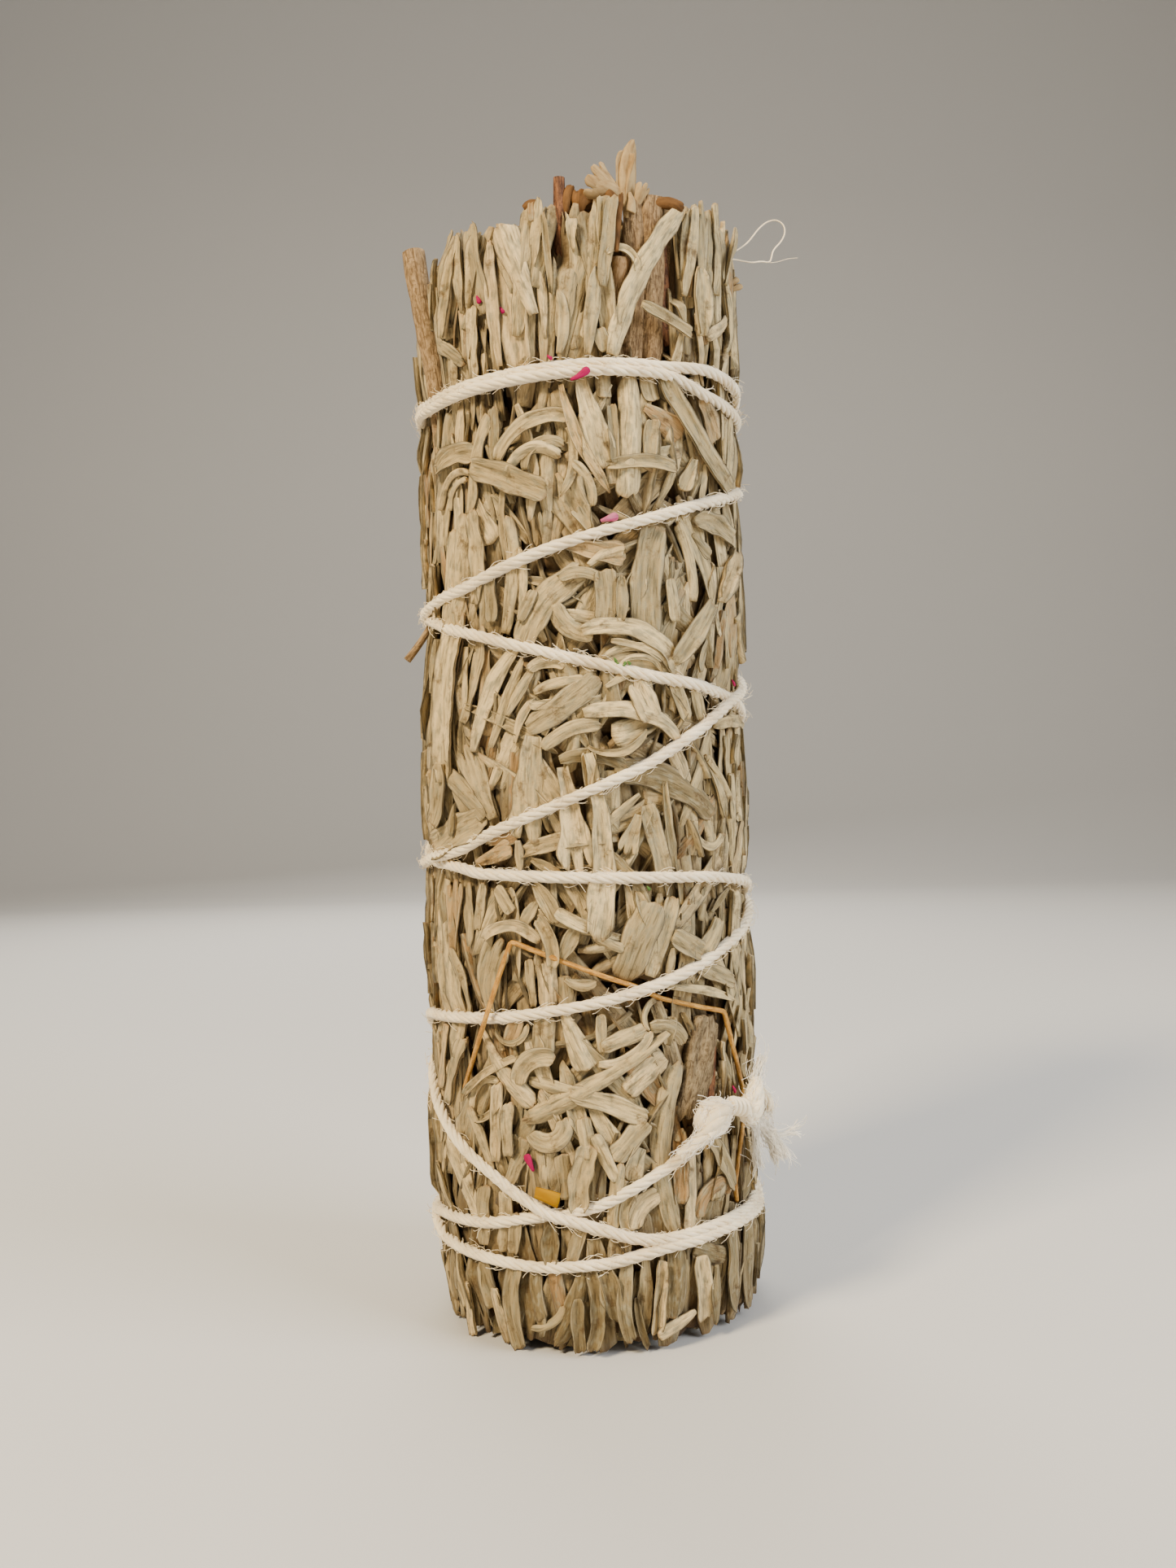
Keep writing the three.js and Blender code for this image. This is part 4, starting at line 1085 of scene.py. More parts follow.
# Leaves of the front that are placed one by one, read off the photo enlarged zoom times from each corner:
# kind, root, a point half way where it bends, tip, width in mm, and tone where it isn't plain. Later ones
# lie over earlier ones.
photoReading = {
    "zoom": 2.8,
    "widen": 1.15,          # what a leaf's rolled edges add to the width that was read
    "longer": 0.5,          # and how far its ends go on under other leaves
    "mostBent": 0.35,       # the most that its middle stands aside, as a share of its length
    "tones": {"dark": 0.12, "grey": 0.30, "plain": 0.5, "pale": 0.74, "warm": 0.9, "brown": 1.0},
}
frontLeaves = {
    "topEdge": {"corner": (440, 180), "leaves": {
        "cornerBlade": ("slender", (300, 650), (270, 450), (262, 300), 1.6, "grey"),
        "leftBlade": ("strap", (290, 650), (305, 470), (300, 285), 1.4),
        "broadGreyLeft": ("strap", (425, 560), (400, 420), (372, 275), 2.0, "grey"),
        "brownSlip": ("slender", (480, 740), (450, 330), 1.2, "warm"),
        "innerSlip": ("slender", (350, 560), (335, 420), (330, 300), 1.0),
        "cornerTop": ("strap", (232, 420), (215, 285), 1.6, "grey"),
        "leftUnderTwig": ("strap", (385, 790), (380, 670), (388, 555), 1.5, "pale"),
        "smallUnderTwig": ("strap", (310, 860), (300, 780), (320, 700), 1.3),
        "leftCrossing": ("strap", (212, 665), (280, 690), (345, 738), 1.2, "grey"),
        "darkSlope": ("strap", (600, 470), (628, 330), (655, 188), 1.6, "grey"),
        "sideSlip": ("strap", (545, 640), (560, 450), (575, 190), 1.3),
        "roundTop": ("strap", (596, 240), (596, 190), 0.9, "brown"),
        "besideTop": ("slender", (600, 400), (618, 176), 1.1),
        "paleWedge": ("wedge", (600, 568), (495, 280), 2.5, "pale"),
        "centreLobed": ("lobed", (700, 640), (720, 430), (748, 190), 3.4, "grey"),
        "centreLower": ("slender", (690, 700), (705, 600), (690, 500), 1.1),
        "centreEdge": ("slender", (800, 640), (818, 180), 1.1),
        "besideStalk": ("strap", (846, 330), (852, 166), 1.3, "grey"),
        "nearStalk": ("strap", (845, 470), (855, 320), (880, 172), 1.1, "grey"),
        "bulge": ("slender", (790, 700), (820, 420), 1.3),
        "roundUnder": ("strap", (850, 690), (830, 630), 1.2, "grey"),
        "rightGrey": ("lobed", (1180, 480), (1190, 320), (1195, 192), 2.1, "grey"),
        "rightSlip": ("strap", (1125, 500), (1150, 360), (1165, 210), 1.0),
        "rightFar": ("strap", (1240, 500), (1245, 340), (1240, 200), 1.2),
        "rightSmall": ("slender", (1130, 600), (1110, 500), (1085, 418), 1.2),
        "rightWedge": ("slender", (1180, 640), (1175, 540), (1165, 425), 1.6),
        "pinkishSlope": ("strap", (1215, 655), (1290, 590), 1.1, "warm"),
        "rightLow": ("strap", (1100, 720), (1105, 640), (1090, 560), 1.4),
        "edgeLow": ("slender", (1270, 700), (1285, 560), (1262, 460), 1.0),
        "middleLow": ("strap", (960, 720), (965, 620), 1.6, "pale"),
    }},
    "rightTop": {"corner": (440, 180), "least": 16.3, "leaves": {
        "edgeTip": ("slender", (1262, 470), (1284, 370), (1304, 284), 0.9, "grey"),
    }},
    "overBark": {"corner": (440, 180), "least": 16.15, "leaves": {
        "hookOverTwig": ("strap", (862, 360), (955, 345), (962, 420), 0.6, "pale"),
        "bigPaleSlope": ("strap", (878, 705), (975, 430), (1122, 215), 1.8, "pale"),
        "slimOverBark": ("strap", (985, 545), (1060, 590), (1142, 645), 1.1, "grey"),
    }},
    "belowBand": {"corner": (440, 180), "leaves": {
        "underBandOne": ("strap", (848, 762), (852, 850), 1.4, "grey"),
        "underBandTwo": ("strap", (945, 760), (950, 850), 1.5, "grey"),
        "underBandThree": ("strap", (1004, 762), (1026, 862), 1.7),
        "underBandFour": ("strap", (1072, 766), (1084, 860), 1.4, "grey"),
        "hollowRim": ("strap", (570, 1100), (600, 1030), (700, 1020), 0.9, "grey"),
        "roundLeft": ("strap", (255, 1110), (310, 1062), (390, 1062), 1.8, "grey"),
        "slipLeft": ("strap", (470, 1090), (460, 990), (455, 900), 1.0, "dark"),
        "standingLeft": ("strap", (372, 1250), (390, 1080), (428, 925), 1.6),
        "arcOuter": ("strap", (262, 1240), (285, 1150), (370, 1122), 0.7, "pale"),
        "arcInner": ("strap", (290, 1240), (310, 1175), (365, 1150), 0.6),
        "broadSlope": ("strap", (400, 1105), (510, 1140), (640, 1195), 2.1, "grey"),
        "archOne": ("strap", (488, 1075), (560, 960), (722, 930), 1.3),
        "archTwo": ("strap", (515, 1110), (580, 1040), (690, 1060), 1.0, "pale"),
        "downCurl": ("slender", (720, 975), (740, 1090), (698, 1195), 0.8),
        "twist": ("strap", (745, 1095), (790, 1150), (800, 1230), 0.9),
        "longSlip": ("slender", (700, 825), (760, 1010), (865, 1180), 1.0, "warm"),
        "brownCorner": ("wedge", (1000, 900), (1115, 985), 2.4, "brown"),
        "underCorner": ("strap", (1000, 1060), (1010, 950), 1.2, "grey"),
        "level": ("strap", (865, 1098), (980, 1085), (1088, 1108), 1.1),
        "deepSlip": ("strap", (880, 1080), (875, 890), 0.9, "dark"),
        "hangingWedge": ("wedge", (765, 790), (800, 930), (845, 1098), 2.7, "pale"),
        "hangingStrap": ("strap", (945, 790), (940, 990), (928, 1200), 2.2, "pale"),
        "rightPale": ("strap", (1200, 870), (1240, 1010), 1.6, "warm"),
        "rightRim": ("strap", (1292, 940), (1285, 1180), 1.4),
        "rightLeaf": ("wedge", (1160, 1080), (1120, 1170), 1.4),
        "longSlope": ("strap", (1058, 800), (1160, 1000), (1292, 1195), 1.7, "grey"),
    }},
    "upperMiddle": {"corner": (440, 560), "leaves": {
        "leftRim": ("slender", (240, 560), (238, 380), 1.2, "warm"),
        "leftTall": ("strap", (300, 1110), (292, 800), (325, 545), 2.6, "pale"),
        "leftTallTwo": ("strap", (350, 910), (385, 740), (400, 590), 1.5),
        "broadLeftEdge": ("strap", (275, 580), (290, 400), (305, 260), 1.6),
        "broadLeft": ("strap", (300, 590), (318, 390), (345, 205), 2.5),
        "broadLeftTwo": ("strap", (385, 500), (395, 350), (388, 195), 1.6),
        "slipA": ("strap", (490, 600), (520, 400), (505, 215), 1.2),
        "slipB": ("slender", (550, 540), (560, 420), (545, 320), 0.9, "pale"),
        "slipC": ("strap", (445, 560), (440, 430), 1.1, "dark"),
        "fanLeft": ("lobed", (450, 1240), (405, 1120), (375, 1005), 2.4),
        "fanLow": ("strap", (420, 1240), (340, 1140), (280, 1065), 1.6, "grey"),
        "bundleA": ("slender", (400, 1010), (440, 820), (545, 650), 1.5, "pale"),
        "bundleB": ("slender", (452, 995), (500, 850), (560, 700), 1.0),
        "bundleC": ("slender", (515, 885), (560, 800), (600, 735), 0.9),
        "bundleD": ("slender", (540, 980), (560, 900), (600, 840), 0.8, "pale"),
        "bigSlope": ("strap", (560, 660), (640, 500), (775, 395), 2.3),
        "slopeTop": ("strap", (700, 420), (760, 400), (820, 420), 1.0, "grey"),
        "tanFlake": ("wedge", (690, 300), (790, 320), (915, 345), 1.9, "brown"),
        "tanFlakeTwo": ("wedge", (800, 370), (850, 335), (905, 320), 1.3, "warm"),
        "smallLobes": ("lobed", (640, 300), (640, 190), 1.5, "grey"),
        "smallLobesTwo": ("lobed", (790, 240), (760, 185), 1.6),
        "standingMiddle": ("strap", (850, 565), (855, 480), (850, 400), 1.9, "grey"),
        "standingNext": ("slender", (905, 560), (905, 420), 1.1, "grey"),
        "mottledStrap": ("strap", (1005, 690), (990, 460), (1035, 245), 2.6, "dark"),
        "brownNext": ("strap", (1075, 500), (1120, 550), (1170, 600), 1.8, "dark"),
        "curvedRight": ("strap", (1160, 490), (1150, 350), (1110, 235), 1.1),
        "shortRight": ("strap", (1090, 560), (1080, 430), 1.3),
        "hookedRight": ("strap", (1175, 225), (1240, 240), (1290, 295), 1.8, "grey"),
        "rightRimA": ("strap", (1250, 490), (1290, 330), 1.5, "warm"),
        "rightRimB": ("slender", (1308, 570), (1330, 440), (1300, 320), 1.2),
        "rightDeep": ("strap", (1225, 720), (1215, 560), 1.0, "dark"),
        "nestBack": ("strap", (850, 715), (970, 690), (1100, 752), 2.8),
        "nestLow": ("slender", (880, 740), (960, 690), (1050, 742), 0.5, "pale"),
        "nestA": ("strap", (850, 690), (940, 650), (1090, 745), 0.7, "pale"),
        "nestB": ("strap", (880, 640), (960, 655), (1040, 700), 0.6),
        "ribbonStart": ("strap", (680, 520), (730, 590), (800, 612), 1.6),
        "ribbon": ("strap", (780, 600), (930, 585), (1110, 745), 1.5, "pale"),
        "rightSlope": ("strap", (1090, 700), (1155, 610), (1222, 508), 1.8),
        "leftTallLow": ("strap", (560, 560), (600, 470), 0.9, "grey"),
    }},
    "lowerMiddle": {"corner": (440, 560), "leaves": {
        "curlUnder": ("strap", (596, 735), (640, 708), (700, 722), 1.0, "pale"),
        "besideCurl": ("strap", (700, 690), (735, 800), 1.6, "grey"),
        "deepRow": ("strap", (790, 700), (795, 830), 1.6, "grey"),
        "deepRowTwo": ("strap", (860, 740), (880, 880), 1.6, "dark"),
        "deepRowThree": ("strap", (985, 760), (985, 900), 1.8, "warm"),
        "tangleA": ("strap", (610, 810), (690, 780), (770, 770), 0.9),
        "tangleB": ("strap", (600, 860), (700, 850), 0.8, "pale"),
        "tangleC": ("wedge", (860, 790), (940, 740), 1.0),
        "rightStandA": ("strap", (1135, 900), (1100, 780), 1.2),
        "rightStandB": ("strap", (1165, 780), (1195, 900), 1.1),
        "rightStandC": ("strap", (1290, 1240), (1290, 1100), 1.3),
        "brownPatch": ("strap", (960, 790), (1010, 900), 2.2, "warm"),
        "levelTwig": ("strap", (700, 1045), (800, 1030), (920, 1065), 1.2, "dark"),
        "foldedSlope": ("strap", (590, 935), (690, 870), (820, 765), 2.0, "grey"),
        "foldedSlopeTwo": ("strap", (640, 1000), (720, 945), (828, 925), 1.2),
        "archRight": ("strap", (785, 885), (920, 870), (1108, 965), 1.4, "pale"),
        "thinArc": ("slender", (800, 1005), (920, 1015), (985, 950), 0.7),
        "rimStub": ("strap", (1250, 925), (1290, 912), (1338, 925), 1.1),
        "slipRight": ("slender", (1268, 1235), (1245, 1130), (1205, 1035), 1.1),
        "standTip": ("lobed", (795, 1190), (792, 1020), 1.2),
        "bigLobed": ("lobed", (600, 975), (590, 1150), (600, 1325), 4.0),
        "bigLobedTwo": ("lobed", (705, 1080), (735, 1250), (762, 1435), 2.8, "pale"),
        "leftWide": ("strap", (420, 1250), (340, 1290), (250, 1350), 2.8, "grey"),
        "leftRoot": ("strap", (290, 1070), (280, 1180), (260, 1270), 2.0, "grey"),
        "broadRagged": ("strap", (895, 1080), (1060, 1105), (1225, 1225), 2.5, "dark"),
    }},
    "lowMiddle": {"corner": (440, 940), "leaves": {
        "leftBrown": ("lobed", (320, 650), (325, 530), (318, 405), 2.3, "warm"),
        "leftLowA": ("strap", (300, 855), (285, 750), (280, 650), 1.7),
        "leftLowB": ("strap", (365, 850), (345, 740), (318, 640), 1.5, "grey"),
        "leftSlip": ("slender", (405, 560), (410, 490), (422, 415), 1.0),
        "shortSlope": ("strap", (470, 430), (520, 500), 1.2),
        "amberFlakeA": ("wedge", (440, 268), (530, 238), 1.6, "brown"),
        "amberFlakeB": ("wedge", (400, 338), (515, 288), 1.7, "brown"),
        "smallTipA": ("slender", (545, 270), (550, 360), 0.9),
        "smallTipB": ("slender", (600, 330), (690, 375), 0.9),
        "shortDown": ("slender", (605, 415), (650, 475), (682, 538), 1.5, "grey"),
        "roundBack": ("lobed", (450, 860), (445, 720), (490, 605), 2.7, "grey"),
        "stripMiddle": ("strap", (645, 835), (640, 690), 1.8, "warm"),
        "thinPair": ("strap", (590, 830), (575, 680), 0.8),
        "stripRight": ("strap", (710, 830), (700, 740), 1.5, "grey"),
        "smallCup": ("slender", (718, 745), (765, 765), (812, 752), 1.0, "grey"),
        "upTip": ("slender", (560, 560), (603, 478), 1.0),
        "bentTip": ("strap", (665, 690), (660, 600), (622, 530), 1.2),
        "leafTipRight": ("slender", (703, 660), (752, 558), 1.3, "grey"),
        "shortLevel": ("strap", (692, 508), (790, 562), 1.1, "pale"),
        "shortLevelTwo": ("strap", (825, 598), (908, 635), 0.9),
        "archUnderString": ("strap", (445, 592), (520, 552), (614, 606), 1.0, "pale"),
        "brokenSmall": ("lobed", (962, 180), (925, 300), 1.8),
        "slimSlope": ("slender", (972, 108), (900, 170), (833, 222), 0.9),
        "besideSlope": ("strap", (1000, 148), (1030, 260), (1062, 385), 1.7, "grey"),
        "hookRight": ("strap", (1168, 205), (1200, 290), (1262, 245), 0.7),
        "rimLong": ("slender", (1215, -10), (1285, 130), (1300, 340), 1.2),
        "rimShort": ("strap", (1332, 200), (1305, 375), 1.1, "warm"),
        "underStringA": ("strap", (862, 308), (945, 385), 1.0),
        "tallTipA": ("slender", (1005, 560), (965, 445), 1.1),
        "tallTipB": ("strap", (1010, 720), (1050, 590), (1088, 462), 1.5),
        "greyNest": ("strap", (1090, 590), (1185, 645), 1.8, "grey"),
        "greyNestTwo": ("strap", (1180, 690), (1252, 535), 1.5),
        "rightWide": ("strap", (1300, 620), (1312, 435), 1.8, "pale"),
        "rightLowRim": ("strap", (1322, 860), (1325, 740), (1308, 620), 1.4),
        "underStraw": ("slender", (1080, 768), (1190, 775), (1292, 808), 0.8, "pale"),
        "underStrawTwo": ("strap", (1180, 690), (1292, 742), 1.5, "grey"),
        "paddle": ("strap", (925, 735), (965, 610), (1015, 480), 2.8, "grey"),
        "longStrap": ("wedge", (792, -30), (842, 260), (820, 598), 2.3, "pale"),
    }},
    "underStraw": {"corner": (440, 940), "leaves": {
        "deepBrown": ("strap", (520, 960), (540, 880), 1.4, "warm"),
        "shortBlock": ("strap", (632, 990), (632, 878), 2.0, "grey"),
        "uLoop": ("strap", (470, 925), (520, 1008), (578, 905), 0.5),
        "barkNeighbour": ("strap", (1080, 960), (1095, 880), 0.9),
        "standingDark": ("strap", (840, 980), (835, 870), 0.9),
        "wedgeDown": ("wedge", (710, 870), (790, 1042), 2.4, "pale"),
        "loopA": ("strap", (385, 1185), (400, 1110), (472, 1088), 0.7, "pale"),
        "loopB": ("strap", (398, 1215), (465, 1190), (495, 1098), 0.7),
        "loopC": ("strap", (370, 1130), (440, 1060), (540, 1010), 0.7),
        "leftLowSlope": ("strap", (300, 1160), (330, 1020), (360, 950), 1.3),
        "edgeSlip": ("strap", (275, 1100), (290, 900), 1.2, "warm"),
        "curlBack": ("strap", (1000, 905), (985, 845), (1065, 818), 0.6),
        "curlFront": ("strap", (1020, 905), (1080, 905), (1142, 955), 1.3, "grey"),
        "foldedBack": ("strap", (848, 968), (985, 912), 1.3),
        "foldedFront": ("strap", (838, 1030), (930, 1010), (1003, 925), 0.8, "pale"),
        "brownSlope": ("strap", (1050, 1010), (930, 1122), 2.0, "warm"),
        "underCross": ("strap", (595, 1090), (760, 1135), 1.1),
        "mouthLeaf": ("strap", (553, 1090), (590, 1020), (668, 1005), 1.6),
        "leftSlope": ("wedge", (415, 920), (485, 1040), (590, 1175), 1.9, "pale"),
        "crossB": ("strap", (740, 1128), (870, 1170), (992, 1215), 1.6),
        "crossA": ("wedge", (1062, 930), (850, 1080), (575, 1220), 1.8),
    }},
    "lowest": {"corner": (440, 1240), "leaves": {
        "leftStandA": ("strap", (440, 570), (415, 450), (380, 350), 1.2),
        "leftStandB": ("strap", (470, 520), (490, 260), 1.1, "pale"),
        "leftStandC": ("strap", (515, 500), (520, 330), 1.0),
        "leftLong": ("strap", (405, 745), (345, 580), (288, 455), 1.8, "pale"),
        "leftRimLow": ("slender", (318, 705), (268, 530), 1.3),
        "curledBlob": ("strap", (598, 440), (650, 470), (712, 388), 1.6),
        "slipMid": ("strap", (795, 505), (775, 385), 1.3),
        "behindChips": ("wedge", (500, 625), (572, 458), 1.8, "grey"),
        "squareLeaf": ("strap", (630, 640), (640, 502), 2.7),
        "besideSquare": ("strap", (712, 655), (698, 512), 1.5, "grey"),
        "standTall": ("strap", (758, 695), (765, 580), (797, 478), 1.8),
        "cutLeaf": ("strap", (985, 395), (885, 515), 1.9),
        "slipRight": ("strap", (885, 585), (855, 520), (818, 438), 1.1, "pale"),
        "standRow": ("strap", (880, 755), (898, 540), 1.2),
        "curlLow": ("strap", (942, 785), (915, 720), (942, 648), 0.8),
        "brownCurl": ("strap", (958, 755), (980, 690), (1035, 648), 1.6, "warm"),
        "redStrip": ("strap", (1112, 665), (1116, 425), 1.2, "brown"),
        "rightStand": ("strap", (1150, 765), (1152, 505), 1.4, "warm"),
        "rightBrown": ("strap", (1188, 705), (1205, 590), (1292, 622), 1.5, "brown"),
        "greyBehindStraw": ("strap", (1292, 605), (1235, 458), 1.5, "grey"),
        "rightGreen": ("strap", (1342, 725), (1372, 538), 1.7, "grey"),
        "midStandA": ("strap", (480, 830), (492, 640), 1.5, "pale"),
        "midStandB": ("strap", (425, 805), (420, 620), 1.3),
        "midStandC": ("strap", (525, 840), (532, 715), 1.2),
        "midStandD": ("slender", (662, 885), (660, 750), 1.5, "grey"),
        "midStandE": ("strap", (728, 885), (762, 765), 1.2),
        "longGreyStrap": ("strap", (1100, 760), (1055, 430), (1110, 190), 1.9, "grey"),
    }},
    "foot": {"corner": (440, 1240), "leaves": {
        "tipA": ("slender", (310, 810), (305, 1000), 1.0),
        "tipB": ("wedge", (340, 850), (368, 1028), 2.2, "pale"),
        "tipC": ("strap", (375, 950), (375, 1122), 1.0, "warm"),
        "tipD": ("strap", (428, 880), (462, 1022), 1.7),
        "tipE": ("strap", (470, 970), (482, 1160), 1.0, "warm"),
        "tipF": ("strap", (542, 880), (525, 1030), (545, 1174), 1.7),
        "tipG": ("strap", (598, 890), (620, 1072), 1.2, "grey"),
        "tipH": ("strap", (668, 880), (690, 1062), 1.4, "brown"),
        "tipI": ("slender", (765, 910), (735, 1050), (668, 1168), 1.8, "grey"),
        "tipJ": ("strap", (598, 1105), (660, 1092), (698, 1035), 0.7, "pale"),
        "tipK": ("strap", (756, 1010), (757, 1192), 1.1),
        "tipL": ("strap", (800, 905), (826, 1040), (804, 1182), 1.2),
        "tipM": ("slender", (848, 880), (870, 980), (894, 1078), 1.8),
        "tipN": ("strap", (932, 870), (915, 1010), (945, 1152), 1.2),
        "tipO": ("slender", (995, 860), (995, 1120), 1.3, "pale"),
        "tipP": ("strap", (1048, 880), (1034, 1126), 1.1, "warm"),
        "tipQ": ("strap", (1112, 800), (1105, 930), (1100, 1062), 2.2, "grey"),
        "tipR": ("strap", (1168, 1056), (1048, 1132), 1.2, "warm"),
        "tipS": ("strap", (1182, 860), (1212, 1072), 1.6, "warm"),
        "tipT": ("slender", (1228, 890), (1244, 1082), 1.0),
        "tile": ("strap", (1178, 832), (1268, 856), 1.8),
        "tipU": ("strap", (1300, 720), (1288, 880), (1328, 1030), 1.6),
        "tipV": ("strap", (1362, 700), (1358, 850), (1376, 1016), 1.7),
        "tipW": ("slender", (1384, 815), (1392, 952), 0.9),
    }},
    "gaps": {"corner": (440, 940), "leaves": {
        "besidePaddle": ("slender", (1085, 640), (1078, 735), 0.9, "grey"),
        "belowPaddle": ("slender", (965, 792), (1050, 780), 0.8, "grey"),
        "belowBarkStrip": ("slender", (1112, 1290), (1124, 1190), 1.2, "brown"),
    }},
}


def readLeaf(region, reading):
    *shape, tone = reading if isinstance(reading[-1], str) else (*reading, "plain")
    kind, *path, width = shape
    places = []
    for pixel in path:
        u, v = (start + part / photoReading["zoom"] for start, part in zip(region["corner"], pixel))
        angle, radius, height = photoPlace(u, v, bundle["radius"] + 0.2)
        places.append(np.array((math.radians(angle) * bundle["radius"], height)))
    way = places[-1] - places[0]
    chord = float(np.linalg.norm(way))
    middle = (places[0] + places[-1]) / 2
    toRight = np.array((way[1], -way[0])) / chord
    aside = float((places[1] - middle) @ toRight) if len(path) == 3 else 0.0
    farthest = photoReading["mostBent"] * chord
    aside = max(-farthest, min(farthest, aside))
    x, z = (middle + aside * toRight).tolist()
    character = leafCharacter()
    thickness = rng.uniform(0.24, 0.34)
    # painted shade: plain, pale and grey leaves low down are darkened
    paintedShade = footPaintedShade(z) if tone in ("plain", "pale", "grey") else 0
    lightness = photoReading["tones"][tone] + rng.uniform(-0.09, 0.06) - paintedShade
    return {
        **character, "kind": "fine_" + kind, "x": x, "z": z, "thickness": thickness,
        "tone": min(1.0, max(0.0, lightness)),
        "stiff": 2.2, "bite": 0.25, "roll": 0, "proud": 0.2, "least": region.get("least", 0),
        "lean": math.degrees(math.atan2(way[0], way[1])), "bend": math.degrees(-8 * aside / chord),
        "length": chord * (1 + 8 / 3 * (aside / chord) ** 2) + photoReading["longer"],
        "width": width * photoReading["widen"],
    }


def layFrontLeaves():
    for region in frontLeaves.values():
        for reading in region["leaves"].values():
            leaf = readLeaf(region, reading)
            layLeaf(leaf, restLeaf(leaf))
    print("front leaves laid:", sum(len(region["leaves"]) for region in frontLeaves.values()))


def fillBundle(layer):
    # of each few tries the leaf that has most room is laid
    count, spare, crowding = foliage[layer]
    laid = 0
    for attempt in range(count):
        best = None
        for choice in range(foliage["tries"]):
            leaf = looseLeaf(layer)
            rest = restLeaf(leaf)
            if best is None or rest["spare"] > best[1]["spare"]:
                best = (leaf, rest)
        if best[1]["crowding"] <= crowding and best[1]["spare"] >= spare:
            layLeaf(*best)
            laid += 1
    print(layer, "leaves laid:", laid)


def makeCore(bm, layers):
    # the packed middle, closed, behind the leaves, painted dark as shade
    low, high = bundle["coreSpan"]
    bmesh.ops.create_cone(
        bm, cap_ends=True, cap_tris=False, segments=64, radius1=bundle["coreRadius"],
        radius2=bundle["coreRadius"], depth=high - low,
    )
    bmesh.ops.translate(bm, vec=(0, 0, (low + high) / 2), verts=bm.verts)
    for vert in bm.verts:
        vert[layers[0]] = (vert.co.z, vert.co.x, 0.1)
        vert[layers[1]] = (bundle["coreRadius"], 0, 0)


endPacking = {
    "spacing": 0.92,
    "length": 9.0,
    "top": 101,
    "astray": 0.4,          # share of the spacing
    "widths": (1.2, 3.4),
    "thicknesses": (0.28, 0.45),
    "bow": 0.5,
    "topUneven": (-1.6, 1.0),
    "footUneven": (0.2, 1.6),
    "lit": 15.9,            # the cut ends are lit as if they were at this radius
    "litFall": 0.5,
}


def addStandingLeaf(bm, layers, x, y, bottom, top, width, yaw, tone):
    # a leaf inside the bundle, on its edge, seen only by its cut end
    bow = rng.uniform(-endPacking["bow"], endPacking["bow"])
    thick = rng.uniform(*endPacking["thicknesses"])
    turn = math.radians(yaw)
    shape = leafTemplates["coarse"][1].tolist()
    for vert, (across, along, sheet) in zip(addTemplate(bm, "coarse"), shape):
        side = across * width / 2
        depth = sheet * thick + bow * across ** 2
        vert.co = (
            x + side * math.cos(turn) - depth * math.sin(turn),
            y + side * math.sin(turn) + depth * math.cos(turn),
            bottom + (top - bottom) * along,
        )
        vert[layers[0]] = (along * 12, side, tone)
        nearEnd = max(top - vert.co.z, 0) if top > 50 else max(vert.co.z - bottom, 0)
        vert[layers[1]] = (endPacking["lit"] - endPacking["litFall"] * nearEnd, abs(across), along)


def packEnds(bm, layers):
    spacing, length, astray = (endPacking[key] for key in ("spacing", "length", "astray"))
    reach = int(bundle["coreRadius"] / spacing) + 1
    cells = range(-reach, reach + 1)
    for i, j, atTop in itertools.product(cells, cells, (True, False)):
        x = (i + rng.uniform(-astray, astray)) * spacing
        y = (j + rng.uniform(-astray, astray)) * spacing
        if math.hypot(x, y) > bundle["coreRadius"] + 0.4:
            continue
        width = rng.uniform(*endPacking["widths"])
        yaw = rng.uniform(0, 360)
        tone = rng.gauss(0.45, 0.2)
        if atTop:
            slope = bundle["topSlope"] * x / bundle["radius"]
            end = endPacking["top"] + slope + rng.uniform(*endPacking["topUneven"])
            addStandingLeaf(bm, layers, x, y, end - length, end, width, yaw, tone)
        else:
            end = rng.uniform(*endPacking["footUneven"])
            addStandingLeaf(bm, layers, x, y, end, end + length, width, yaw, tone)


def makeFoliage():
    fromFront = np.minimum(bedAngles, 360 - bedAngles)
    frontRoom = foliage["frontRoom"] * (1 - smoothStep(*foliage["frontSpan"], fromFront))[None, :]
    fillBundle("inner")
    bedCap[:] = bedCap - frontRoom
    fillBundle("main")
    bedCap[:] = bedCap + frontRoom
    layFrontLeaves()
    fillBundle("last")
    for number, leaves in enumerate(laidLeaves, 1):
        bm = bmesh.new()
        layers = leafLayers(bm)
        for leaf in leaves:
            addLeaf(bm, layers, leaf)
        finishPiece(f"sprig_{number}_foliage", bm, "drySage", f"sprig_{number}_leaves")
    heart = bmesh.new()
    layers = leafLayers(heart)
    makeCore(heart, layers)
    packEnds(heart, layers)
    finishPiece("heart_sprig_foliage", heart, "drySage", "heart_sprig_leaves")


def tubes(lines, radius, resolution):
    # tubes along given points, by way of a curve object, as one mesh in millimetres
    data = bpy.data.curves.new("tubes", "CURVE")
    data.dimensions = "3D"
    data.bevel_depth = radius
    data.bevel_resolution = resolution
    data.use_fill_caps = True
    for points, radii in lines:
        spline = data.splines.new("POLY")
        spline.points.add(len(points) - 1)
        spline.points.foreach_set("co", np.column_stack((points, np.ones(len(points)))).ravel())
        spline.points.foreach_set("radius", np.broadcast_to(radii, len(points)).astype(float))
    curve = placed("tubes", data)
    bpy.context.view_layer.update()
    mesh = bpy.data.meshes.new_from_object(curve)
    bpy.data.objects.remove(curve)
    bpy.data.curves.remove(data)
    return joined([mesh])


def joined(meshes):
    # several meshes as one bmesh
    bm = bmesh.new()
    for mesh in meshes:
        bm.from_mesh(mesh)
        bpy.data.meshes.remove(mesh)
    return bm


def unit(rows):
    return rows / np.linalg.norm(rows, axis=-1, keepdims=True)


